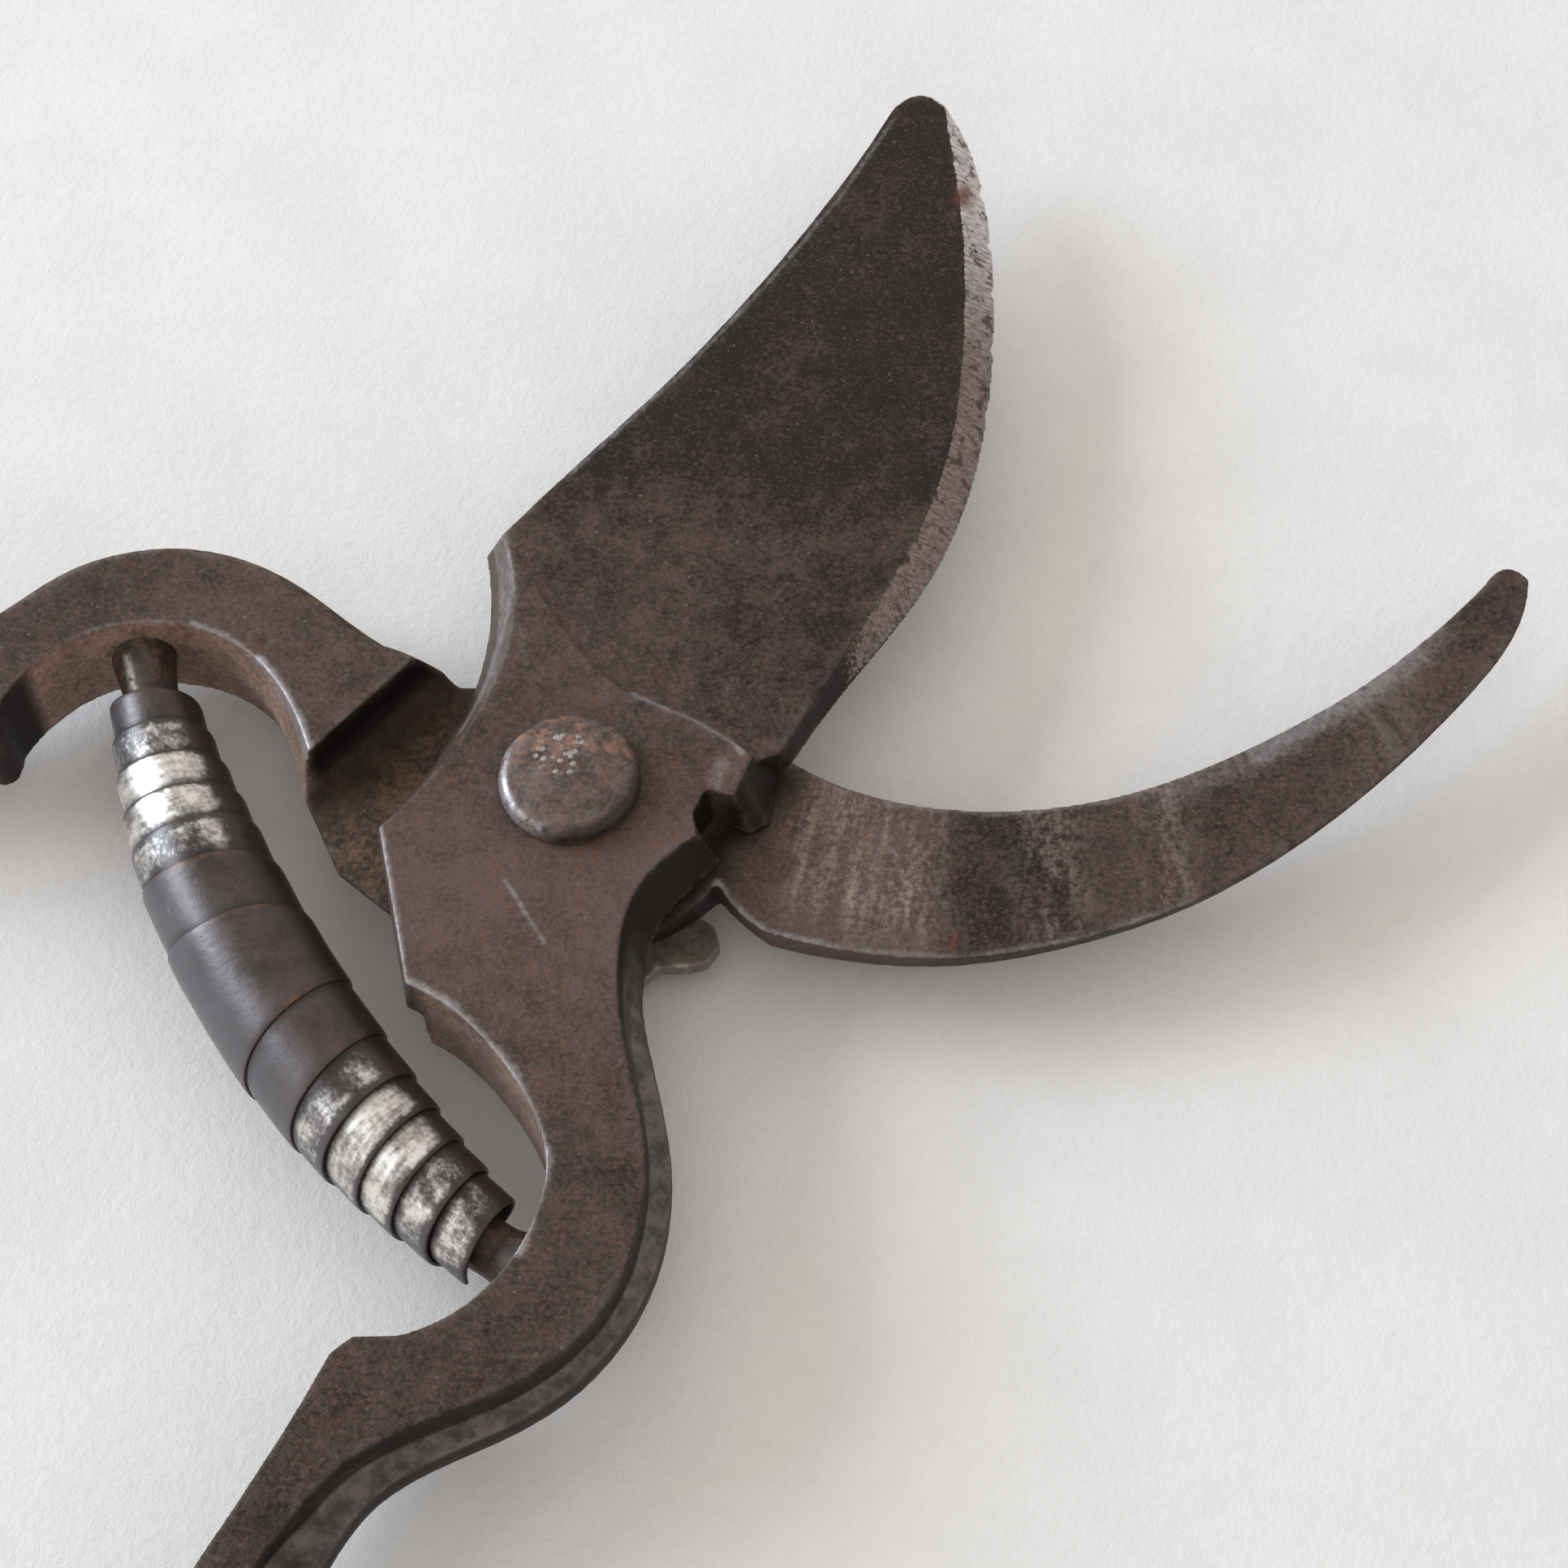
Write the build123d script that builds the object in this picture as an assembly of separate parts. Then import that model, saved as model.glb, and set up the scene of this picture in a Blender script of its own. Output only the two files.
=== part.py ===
from build123d import *
import math
import os

os.makedirs("parts", exist_ok=True)

# Millimetres, +Z up. The origin is on the pivot axis, in the lap plane where the
# two forgings slide on each other. The shears are drawn open, blade upwards (+Y),
# hook to the right (+X). The blade forging lies on top of the hook forging.

# ---- driving dimensions ----
HALF = 5.5              # half the full forging thickness, also one lap plate
LAP_GAP = 0.05          # each plate stops this far from the lap plane
CLOSE_DEG = 54          # the blade handle turns this far to close the shears

PIVOT_R = 4.0           # pivot bolt shank
RUNNING_FIT = 0.05      # radial clearance on anything that turns
HEAD_R = 6.5
HEAD_RIM = 0.9          # straight part of the head's side
HEAD_ROUND = 1.4        # radius between its side and its crown
HEAD_CROWN_DEG = 11     # slope of the crown where the round starts
HEAD_SEAT = HALF + 0.05
NUT_FLATS = 11.4
NUT_H = 4.6
BOLT_END = -9.8         # just inside the nut, which is what the shears rest on
BOLT_THREAD_R = 3.5
SLOT_W = 1.4
SLOT_DEPTH = 1.3

STEP_ANGLE = 138        # direction of the hook forging's step, seen from the pivot
STEP_DIST = 20.3        # from the pivot axis to the step wall
STEP_FOOT_R = 2.8       # cove at the foot of that wall; the closed blade plate stops on it
REAR_STEP_ANGLE = 258.7  # the blade forging's own step, under its plate
REAR_STEP_DIST = 22.8

FLANGE_Z = 1.5          # the outer flange's edge stands this far above mid-plane
SHELF_Z = 2.3           # foot of the cove between flange and top face
FLUTE_Z = 3.2           # height of the flute's centre line on each side
GRIP_END = 137          # handle length measured from the pivot along the closed axis

BLADE_EDGE_Z = 0.35     # blunt height of the cutting edge above the lap plane
BLADE_HEEL_Z = 4.5      # blade face height at the boss
BLADE_TIP_Z = 2.5       # blade face height at the tip

HOOK_THIN_FROM = 22     # the hook's underside starts to rise at this x
HOOK_TAPER_DEG = 2.0

HOOK_PEG = (-40.2, 12.1)    # where the spring's ends sit on their pegs
HOOK_PEG_DEG = 105          # each peg points this way into its handle
HOOK_PEG_REACH = 5.1
BLADE_PEG = (-5.1, -43.3)
BLADE_PEG_DEG = -33
BLADE_PEG_REACH = 3.0
PEG_BASE_R = 3.0
PEG_NECK_R = 2.5
PEG_SHANK_R = 1.8

SPRING_TURNS = 7        # turns of each arm, from the ribbon's outer end
SPRING_FIRST_TURN = 0.2     # the outer end is cut square here, under the spring
SPRING_R_MAX = 6.7
SPRING_R_MIN = 4.1
SPRING_TAPER = 1.4      # above 1, the turns narrow slowly at first and faster near the ends
SPRING_BOW = 5.0        # the open spring bows this far from its chord
SPRING_T = 0.38         # ribbon thickness
SPRING_START = 0.6      # half the ribbon's width where its point would be
SPRING_STEEP = 6.6      # the free edges draw apart by twice this in each of the first turns
SPRING_STEEP_TURNS = 2
SPRING_OVERLAP = 3.5    # each turn reaches this far under the one outside it

CATCH_PIVOT = (3.4, -9.6)
CATCH_T = 1.8
CATCH_TOP = -HALF - 0.2
CATCH_SCREW_R = 1.5
CATCH_SCREW_END = -1.5
CATCH_HEAD_R = 2.7
CATCH_EYE_R = 3.1
CATCH_WASHER_T = 0.4
CATCH_TOOTH_TOP_GAP = 0.45  # the tooth ends this far under the lap plane

KEEPER_ANGLE = 150      # the nut's keeper plate lies on this side of the pivot
KEEPER_T = 1.2
KEEPER_HALF_W = 3.0
KEEPER_SCREW_DIST = 11.5
KEEPER_SCREW_R = 1.25
KEEPER_SCREW_END = -2.0


# ---- helpers ----
def polar(radius, degrees):
    """Point at a radius and an angle about the pivot axis."""
    a = math.radians(degrees)
    return Vector(radius * math.cos(a), radius * math.sin(a))


def grip_point(along, out, axis_deg, side):
    """Point in a handle's own frame: along the closed axis, and outwards from it."""
    return polar(along, axis_deg) + polar(out, axis_deg + 90 * side)


def edges_to_face(edges, z):
    """Planar face from a closed run of edges, lifted to height z."""
    return make_face(Curve(children=edges)).moved(Location((0, 0, z)))


def half_space(angle, dist, z0, z1, size=160):
    """Block beyond a line, whose normal points at angle, dist from the pivot."""
    block = Box(size, 2 * size, z1 - z0, align=(Align.MIN, Align.CENTER, Align.MIN))
    return Location((0, 0, z0)) * Rotation(0, 0, angle) * Location((dist, 0, 0)) * block


def bore(radius, z0, z1, at=(0, 0)):
    """Round cutter or pin from z0 to z1."""
    tool = Cylinder(radius, z1 - z0, align=(Align.CENTER, Align.CENTER, Align.MIN))
    return Location((at[0], at[1], z0)) * tool


def blend_point(wide, face, share):
    """Point between the parting-plane outline and the face outline."""
    return (wide[0] + (face[0] - wide[0]) * share, wide[1] + (face[1] - wide[1]) * share)


def level_face(runs, height, z):
    """One level of a forging half. Each run is a list of stations
    (wide x, wide y, face x, face y, cove); cove 0 is a plain drafted side and
    cove 1 is a flange with a cove above it."""
    plain = height / HALF
    if height <= 0:
        coved = 0.0
    elif height <= FLANGE_Z:
        coved = 0.05
    elif height <= SHELF_Z:
        coved = 0.85
    else:
        coved = 1.0
    edges = []
    for run in runs:
        points = []
        for wx, wy, fx, fy, cove in run:
            share = plain * (1 - cove) + coved * cove
            points.append(blend_point((wx, wy), (fx, fy), share))
        edges.append(Line(*points) if len(points) == 2 else Spline(*points))
    return edges_to_face(edges, z)


def forging_half(runs, z_mid, sign):
    """Half of a drop forging, from its parting plane to its flat face."""
    heights = (0, FLANGE_Z, SHELF_Z, HALF)
    faces = [level_face(runs, h, z_mid if h == 0 else sign * h) for h in heights]
    return loft(faces, ruled=True)


def grip_runs(axis_deg, side, inner_start, outer_end):
    """The grip beyond the finger stop: inner run, rounded end, outer run."""
    def station(along, out, face_out, cove):
        wide = grip_point(along, out, axis_deg, side)
        face = grip_point(along, face_out, axis_deg, side)
        return (wide.X, wide.Y, face.X, face.Y, cove)

    inner = [inner_start]
    for along, out in ((67, 13.2), (82, 13.6), (100, 14.8), (118, 15.0), (GRIP_END - 4, 14.2)):
        inner.append(station(along, out, out, 0))
    tip = [inner[-1], station(GRIP_END - 0.4, 16.0, 15.8, 0),
           station(GRIP_END, 17.6, 17.0, 0), station(GRIP_END - 1.6, 19.6, 18.2, 0.5),
           station(GRIP_END - 5, 21.2, 18.8, 1)]
    outer = [tip[-1]]
    for along, out, face_out in ((118, 23.2, 19.4), (100, 23.5, 19.1), (84, 22.5, 18.2),
                                 (71, 21.3, 17.6)):
        outer.append(station(along, out, face_out, 1))
    outer.extend(outer_end)
    return inner, tip, outer


# ---- blade forging ----
BLADE_AXIS = 185 + CLOSE_DEG      # direction of the closed axis in the open drawing

BLADE_RIGHT_SIDE = [
    (-14.2, -65.5, -16.0, -63.5, 1), (-6.7, -61.0, -7.6, -59.3, 1),
    (-0.3, -57.6, -0.8, -55.8, 1), (5.5, -51.9, 4.2, -50.8, 1), (9.2, -43.5, 7.0, -43.8, 1),
    (9.8, -37.2, 7.6, -37.2, 1), (8.8, -29.7, 6.4, -29.7, 0.8), (7.6, -24.2, 5.2, -24.5, 0.5),
    (7.0, -20.2, 4.7, -19.7, 0.2), (7.3, -15.7, 4.9, -15.2, 0), (8.5, -11.6, 6.2, -10.8, 0),
    (11.0, -8.4, 8.3, -7.9, 0), (13.8, -5.1, 11.6, -5.3, 0)]


def blade_forging_runs():
    """Outline of the plate and handle of the blade forging, from the shoulder
    down the left side, round the handle and back up the right side."""
    shoulder = (-9.4, 28.4, -7.4, 27.6, 0)
    recess = [shoulder, (-8.8, 21.2, -6.0, 19.8, 0), (-9.9, 13.2, -7.5, 10.6, 0)]
    upper_left = [recess[-1], (-13.4, 5.2, -10.6, 4.2, 0), (-18.1, -2.0, -17.2, -4.5, 0)]
    stop_face = [upper_left[-1], (-14.3, -20.1, -13.9, -20.2, 0)]
    bow = [stop_face[-1], (-10.2, -22.4, -10.0, -22.5, 0), (-4.3, -28.8, -4.3, -28.8, 0),
           (-0.9, -37.1, -0.9, -37.1, 0), (-3.0, -45.2, -3.0, -45.2, 0),
           (-8.2, -50.9, -8.2, -50.9, 0), (-12.6, -52.8, -12.6, -52.8, 0)]
    finger_stop = [bow[-1], (-16.4, -52.9, -16.4, -52.9, 0)]
    nose = [finger_stop[-1], (-18.2, -54.4, -18.2, -54.4, 0)]
    inner, tip, outer = grip_runs(BLADE_AXIS, 1, nose[-1], BLADE_RIGHT_SIDE)
    notch = [outer[-1], (11.6, -3.1, 11.2, -3.0, 0)]
    notch_top = [notch[-1], (12.8, -0.8, 12.3, -0.5, 0)]
    notch_wall = [notch_top[-1], (16.4, -2.3, 14.9, -1.2, 0)]
    stub_nose = [notch_wall[-1], (18.3, -1.5, 15.6, 1.0, 0)]
    stub_side = [stub_nose[-1], (19.2, 5.0, 16.6, 3.0, 0)]
    boss = [stub_side[-1], (12.0, 7.6, 11.2, 6.8, 0), (5.0, 11.2, 4.6, 10.2, 0),
            (-2.6, 19.2, -2.0, 18.2, 0), shoulder]
    return [recess, upper_left, stop_face, bow, finger_stop, nose, inner, tip, outer,
            notch, notch_top, notch_wall, stub_nose, stub_side, boss]


def blade_level(spine_in, bevel, z):
    """Blade outline at height z. spine_in and bevel scale the inset of the back
    and of the ground edge."""
    # back of the blade: at the lap plane, then where its slope reaches full_bevel_z
    spine = [(-9.4, 28.4, -7.1, 27.6), (-2.3, 36.1, -1.2, 35.0), (8.7, 49.2, 9.9, 48.4),
             (17.5, 61.6, 18.8, 60.8), (24.2, 72.2, 25.5, 71.5), (30.5, 83.6, 31.6, 83.1)]
    # cutting edge point, and the width of the bevel there
    edge = [(37.3, 84.2, 1.1), (39.0, 79.9, 3.2), (40.5, 71.8, 3.9), (41.0, 61.3, 3.9),
            (40.3, 49.3, 3.5), (38.0, 36.6, 2.9), (33.2, 24.8, 2.2), (28.3, 17.4, 1.3),
            (20.6, 5.8, 0.3)]
    heel = (19.1, 4.0)
    back = [blend_point((wx, wy), (fx, fy), spine_in) for wx, wy, fx, fy in spine]
    ground = []
    for x, y, width in edge:
        # the edge leans from the tip to the heel, so the bevel runs in that way too
        lean = math.radians(180 - 34 * min(max((61 - y) / 45, -0.4), 1))
        ground.append((x + bevel * width * math.cos(lean), y + bevel * width * math.sin(lean)))
    tip_top = (33.9, 85.7 - 0.3 * spine_in)
    inside = (6, -2)     # well within the plate
    edges = [Spline(*back), Spline(back[-1], tip_top, ground[0]), Spline(*ground),
             Line(ground[-1], heel), Line(heel, inside), Line(inside, back[0])]
    return edges_to_face(edges, z)


def blade():
    """Flat-backed blade with a ground edge; its face falls towards tip and edge."""
    full_bevel_z = 6.0
    rise = (full_bevel_z - BLADE_EDGE_Z) / 2.85     # bevel widths are given 2.85 mm up
    low = blade_level(0, 0, LAP_GAP)
    edge = blade_level(0, 0, BLADE_EDGE_Z)
    high = blade_level(1, rise, full_bevel_z)
    body = loft([low, edge, high], ruled=True)
    shoulder = Vector(-7, 27, 5.3)
    heel = Vector(16, 5, BLADE_HEEL_Z)
    point = Vector(33.5, 85, BLADE_TIP_Z)
    face = Plane(origin=shoulder, x_dir=heel - shoulder,
                 z_dir=(heel - shoulder).cross(point - shoulder))
    above = face * Box(300, 300, 20, align=(Align.CENTER, Align.CENTER, Align.MIN))
    return body - above


def grip_flute(axis_deg, side, neck_points, z):
    """Round-bottomed groove between a grip's inner ridge and its flange."""
    points = [Vector(*p) for p in neck_points]
    for along, out in ((84, 19.2), (102, 20.4), (120, 20.5), (GRIP_END - 9, 19.5)):
        points.append(grip_point(along, out, axis_deg, side))
    path = Spline(*points).moved(Location((0, 0, z)))
    profile = Plane(origin=path @ 0, z_dir=path % 0) * Circle(1.5)
    ends = Pos(*(path @ 0)) * Sphere(1.5) + Pos(*(path @ 1)) * Sphere(1.5)
    return sweep(profile, path=path) + ends


def peg_parts(tip, inward_deg, reach):
    """A spring peg and the hole for its shank. tip is where the spring's end
    sits; inward_deg points from there into the handle, reach away."""
    place = Plane(origin=(tip[0], tip[1], 0), x_dir=(0, 0, 1),
                  z_dir=tuple(polar(1, inward_deg)))
    profile = Polyline((0, -5.0), (PEG_NECK_R - 0.5, -5.0), (PEG_NECK_R, -4.5), (PEG_NECK_R, 0.4),
                       (PEG_BASE_R, reach - 0.5), (PEG_BASE_R, reach + 0.4), (PEG_SHANK_R, reach + 0.4),
                       (PEG_SHANK_R, reach + 5.0), (0, reach + 5.0), close=True)
    solid = revolve(make_face(Plane.XZ * profile), axis=Axis.Z)
    seat = Cylinder(PEG_BASE_R, 12.0, align=(Align.CENTER, Align.CENTER, Align.MAX))
    seat = Location((0, 0, reach + 0.4)) * seat
    hole = Cylinder(PEG_SHANK_R, reach + 5.0, align=(Align.CENTER, Align.CENTER, Align.MIN))
    return place * solid, place * (seat + hole)


def blade_and_handle():
    """The upper forging: blade, drafted plate and, past its step, the handle."""
    runs = blade_forging_runs()
    upper = forging_half(runs, LAP_GAP, 1)
    lower = forging_half(runs, LAP_GAP, -1)
    lower &= half_space(REAR_STEP_ANGLE, REAR_STEP_DIST, -2 * HALF, LAP_GAP)
    body = upper + lower + blade()
    neck = [(-4.5, -60.4), (-13.2, -64.1), tuple(grip_point(73, 19.0, BLADE_AXIS, 1))[:2]]
    for side in (1, -1):
        body -= grip_flute(BLADE_AXIS, 1, neck, side * FLUTE_Z)
    body -= bore(PIVOT_R + RUNNING_FIT, -HALF, 2 * HALF)
    return body - peg_parts(BLADE_PEG, BLADE_PEG_DEG, BLADE_PEG_REACH)[1]


# ---- hook forging ----
HOOK_AXIS = 185

HOOK_RIGHT_SIDE = [
    (-55.6, 21.4, -53.7, 19.1, 1), (-51.3, 25.1, -49.6, 22.4, 1), (-46.3, 27.8, -45.2, 24.8, 1),
    (-39.2, 28.9, -39.2, 25.9, 1), (-33.3, 27.8, -34.2, 25.2, 1), (-27.0, 24.6, -28.4, 22.5, 0.8),
    (-22.0, 20.7, -23.4, 18.6, 0.5), (-17.2, 17.4, -19.0, 15.3, 0.2)]


def hook_forging_runs():
    """Outline of the hook forging, from the hook's root out along its inner
    edge, back along its outer edge, round the boss and the handle."""
    root = (20.3, 5.7, 20.6, 4.0, 0)
    inner_edge = [root, (29.0, 1.7, 29.2, 0.2, 0), (39.5, 0.5, 39.5, -1.0, 0),
                  (50.0, 1.9, 50.4, 0.4, 0), (63.6, 7.5, 64.3, 6.2, 0),
                  (77.4, 16.4, 78.3, 15.3, 0), (87.2, 25.6, 88.0, 24.6, 0)]
    tip = [inner_edge[-1], (90.0, 27.5, 89.8, 26.2, 0), (91.7, 26.1, 90.7, 25.2, 0)]
    outer_edge = [tip[-1], (90.3, 21.2, 89.3, 21.2, 0), (84.6, 13.1, 83.5, 13.9, 0),
                  (76.2, 4.4, 75.2, 5.6, 0), (66.2, -3.8, 65.2, -2.3, 0),
                  (57.0, -9.2, 56.3, -7.5, 0), (47.0, -12.9, 46.6, -11.0, 0),
                  (35.5, -15.0, 35.4, -13.1, 0), (24.3, -14.1, 24.7, -12.5, 0),
                  (17.6, -12.2, 18.3, -11.0, 0)]
    heel = [outer_edge[-1], (14.7, -9.5, 15.5, -8.6, 0), (13.4, -7.2, 13.6, -6.4, 0)]
    boss = [heel[-1], (6.8, -12.6, 6.2, -11.2, 0), (-1.0, -14.2, -1.0, -12.6, 0),
            (-9.5, -13.1, -9.0, -11.4, 0), (-16.4, -10.5, -15.6, -9.0, 0)]
    corner = [boss[-1], (-21.5, -6.3, -20.4, -5.0, 0)]
    flank = [corner[-1], (-25.0, 1.3, -23.8, 2.4, 0)]
    bow = [flank[-1], (-26.4, 6.0, -25.2, 6.4, 0), (-29.2, 11.6, -28.4, 12.0, 0),
           (-33.2, 15.8, -33.0, 15.9, 0), (-39.0, 17.5, -39.0, 17.5, 0),
           (-45.4, 16.6, -45.4, 16.6, 0), (-50.6, 12.8, -50.6, 12.8, 0),
           (-53.0, 9.0, -53.0, 9.0, 0)]
    nose = [bow[-1], (-53.8, 6.4, -53.8, 6.4, 0), (-56.4, 6.7, -56.4, 6.7, 0)]
    inner, grip_tip, outer = grip_runs(HOOK_AXIS, -1, nose[-1], HOOK_RIGHT_SIDE)
    shoulder = [outer[-1], (-14.6, 16.5, -16.4, 14.4, 0), (-12.8, 15.4, -14.2, 13.2, 0)]
    neck = [shoulder[-1], (-11.6, 14.2, -12.2, 12.4, 0), (-9.5, 14.0, -9.6, 12.2, 0)]
    plate_top = [neck[-1], (3.0, 16.0, 2.8, 14.2, 0), (13.0, 11.0, 12.2, 9.4, 0), root]
    return [inner_edge, tip, outer_edge, heel, boss, corner, flank, bow, nose,
            inner, grip_tip, outer, shoulder, neck, plate_top]


def step_wall():
    """What stands above the lap plane: all beyond the step, and its hollow foot."""
    wall = half_space(STEP_ANGLE, STEP_DIST, -LAP_GAP, 2 * HALF)
    foot = Box(STEP_FOOT_R, 120, STEP_FOOT_R, align=(Align.MAX, Align.CENTER, Align.MIN))
    foot = Location((STEP_DIST, 0, -LAP_GAP)) * foot
    hollow = Rotation(90, 0, 0) * Cylinder(STEP_FOOT_R, 130)
    hollow = Location((STEP_DIST - STEP_FOOT_R, 0, STEP_FOOT_R - LAP_GAP)) * hollow
    return wall + Rotation(0, 0, STEP_ANGLE) * (foot - hollow)


def hook_and_handle():
    """The lower forging: hook, lap plate with its step, and the handle."""
    runs = hook_forging_runs()
    lower = forging_half(runs, -LAP_GAP, -1)
    upper = forging_half(runs, -LAP_GAP, 1) & step_wall()
    # the hook thins from its root to its tip
    thinning = Box(200, 200, 20, align=(Align.MIN, Align.CENTER, Align.MAX))
    thinning = Location((HOOK_THIN_FROM, 0, -HALF)) * Rotation(0, -HOOK_TAPER_DEG, 0) * thinning
    body = (lower - thinning) + upper
    neck = [(-60.5, 14.2), tuple(grip_point(73, 19.0, HOOK_AXIS, -1))[:2]]
    for side in (1, -1):
        body -= grip_flute(HOOK_AXIS, -1, neck, side * FLUTE_Z)
    body -= bore(PIVOT_R, -2 * HALF, HALF)
    body -= bore(CATCH_SCREW_R, -HALF - 1, CATCH_SCREW_END, CATCH_PIVOT)
    body -= bore(KEEPER_SCREW_R, -HALF - 1, KEEPER_SCREW_END, keeper_screw_place())
    return body - peg_parts(HOOK_PEG, HOOK_PEG_DEG, HOOK_PEG_REACH)[1]


# ---- pivot ----
def keeper_screw_place():
    place = polar(KEEPER_SCREW_DIST, KEEPER_ANGLE)
    return (place.X, place.Y)


def pivot_bolt():
    """Domed head on top, round shank through both forgings, slotted end."""
    rim_z = HEAD_SEAT + HEAD_RIM
    slope = math.radians(HEAD_CROWN_DEG)

    def on_round(angle):
        return (HEAD_R - HEAD_ROUND * (1 - math.sin(angle)), rim_z + HEAD_ROUND * math.cos(angle))

    crown_edge = on_round(slope)
    crown_r = crown_edge[0] / math.sin(slope)
    top = crown_edge[1] + crown_r * (1 - math.cos(slope))
    crown_mid = (crown_r * math.sin(slope / 2), top - crown_r * (1 - math.cos(slope / 2)))
    profile = [Line((0, BOLT_END), (BOLT_THREAD_R, BOLT_END)),
               Line((BOLT_THREAD_R, BOLT_END), (BOLT_THREAD_R, -HALF)),
               Line((BOLT_THREAD_R, -HALF), (PIVOT_R, -HALF)),
               Line((PIVOT_R, -HALF), (PIVOT_R, HEAD_SEAT)),
               Line((PIVOT_R, HEAD_SEAT), (HEAD_R - 0.3, HEAD_SEAT)),
               Line((HEAD_R - 0.3, HEAD_SEAT), (HEAD_R, HEAD_SEAT + 0.3)),
               Line((HEAD_R, HEAD_SEAT + 0.3), (HEAD_R, rim_z)),
               ThreePointArc((HEAD_R, rim_z), on_round(math.radians(50)), crown_edge),
               ThreePointArc(crown_edge, crown_mid, (0, top)),
               Line((0, top), (0, BOLT_END))]
    solid = revolve(Plane.XZ * make_face(Curve(children=profile)), axis=Axis.Z)
    slot = Box(3 * PIVOT_R, SLOT_W, SLOT_DEPTH, align=(Align.CENTER, Align.CENTER, Align.MIN))
    return solid - Location((0, 0, BOLT_END), (0, 0, 20)) * slot


def pivot_nut():
    """Hexagon nut under the hook forging, both ends of its corners chamfered."""
    corner_r = NUT_FLATS / math.sqrt(3)
    hexagon = extrude(RegularPolygon(corner_r, 6, rotation=KEEPER_ANGLE + 30), NUT_H)
    lean = corner_r - NUT_FLATS / 2 + 0.2
    cone = Cone(corner_r + 6, corner_r - lean, 6 + lean, align=(Align.CENTER, Align.CENTER, Align.MIN))
    lift = NUT_H - 6 - 0.5 * lean
    both = Location((0, 0, lift)) * cone
    both &= Location((0, 0, NUT_H - lift), (180, 0, 0)) * cone
    return Location((0, 0, -HALF - NUT_H)) * (hexagon & both) - bore(BOLT_THREAD_R, -3 * HALF, 0)


def nut_keeper():
    """Small plate whose straight edge bears on one flat of the nut."""
    inner = NUT_FLATS / 2 + 0.05
    length = KEEPER_SCREW_DIST + KEEPER_HALF_W - inner
    plate = Box(length - KEEPER_HALF_W, 2 * KEEPER_HALF_W, KEEPER_T,
                align=(Align.MIN, Align.CENTER, Align.MAX))
    plate = Location((inner, 0, -HALF)) * plate
    plate += Location((KEEPER_SCREW_DIST, 0, -HALF - KEEPER_T / 2)) * Cylinder(KEEPER_HALF_W, KEEPER_T)
    plate = Rotation(0, 0, KEEPER_ANGLE) * plate
    return plate - bore(KEEPER_SCREW_R, -2 * HALF, 0, keeper_screw_place())


def screw(shank_r, shank_top, head_r, head_top, head_h, at, slot_deg):
    """Slotted round-head screw driven upwards from below."""
    body = bore(shank_r, head_top, shank_top, at)
    head = Location((at[0], at[1], head_top - head_h)) * Cylinder(
        head_r, head_h, align=(Align.CENTER, Align.CENTER, Align.MIN))
    head = chamfer(head.edges().sort_by(Axis.Z)[0], 0.35 * head_h)
    slot = Box(3 * head_r, 0.25 * head_r, 0.4 * head_h, align=(Align.CENTER, Align.CENTER, Align.MIN))
    return body + head - Location((at[0], at[1], head_top - head_h), (0, 0, slot_deg)) * slot


# ---- safety catch ----
def catch_lever():
    """Flat lever under the boss: an eye, a thumb tab and an upright tooth."""
    px, py = CATCH_PIVOT
    eye = Location((px, py, 0)) * Circle(CATCH_EYE_R)
    arm = make_face(Polyline((px + 0.2, py + CATCH_EYE_R), (10.6, -6.1), (11.3, -7.6), (13.0, -8.8),
                             (13.6, -10.7), (12.4, -12.5), (10.3, -13.0), (8.1, -12.9),
                             (5.8, -15.1), (4.1, -15.0), (px, py - CATCH_EYE_R), close=True))
    plan = fillet(arm.vertices(), 0.45) + eye
    plate = extrude(plan.moved(Location((0, 0, CATCH_TOP - CATCH_T))), CATCH_T)
    tooth = Box(1.4, 1.5, -CATCH_TOOTH_TOP_GAP - CATCH_TOP,
                align=(Align.CENTER, Align.CENTER, Align.MIN))
    tooth = Location((4.95, -14.3, CATCH_TOP)) * tooth
    return plate + tooth - bore(CATCH_SCREW_R + RUNNING_FIT, -3 * HALF, 0, CATCH_PIVOT)


def catch_washer():
    """Spring washer between the lever and its screw's head."""
    top = CATCH_TOP - CATCH_T - 0.03
    ring = bore(CATCH_HEAD_R - 0.2, top - CATCH_WASHER_T, top, CATCH_PIVOT)
    ring -= bore(CATCH_SCREW_R + RUNNING_FIT, -3 * HALF, 0, CATCH_PIVOT)
    gap = Box(3 * CATCH_HEAD_R, 0.5, HALF, align=(Align.MIN, Align.CENTER, Align.CENTER))
    return ring - Location((CATCH_PIVOT[0], CATCH_PIVOT[1], top), (0, 0, 250)) * gap


# ---- volute spring ----
def spring_axis():
    """Circular centre line of the bowed spring, between the two peg tips."""
    chord = Vector(*BLADE_PEG) - Vector(*HOOK_PEG)
    radius = chord.length ** 2 / (8 * SPRING_BOW) + SPRING_BOW / 2
    across = Vector(-chord.Y, chord.X).normalized()
    centre = Vector(*HOOK_PEG) + chord / 2 + across * (radius - SPRING_BOW)
    sweep_half = math.asin(chord.length / 2 / radius)
    return centre, radius, across, sweep_half


def spring_point(along, turn, radius):
    """Point of the ribbon: along the axis from -1 to 1, wound by turn, at radius."""
    centre, bend_r, across, sweep_half = spring_axis()
    bend = along * sweep_half
    outward = across.rotate(Axis.Z, 180 + math.degrees(bend))
    wind = 2 * math.pi * turn
    return centre + outward * (bend_r + radius * math.cos(wind)) - Vector(0, 0, radius * math.sin(wind))


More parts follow.
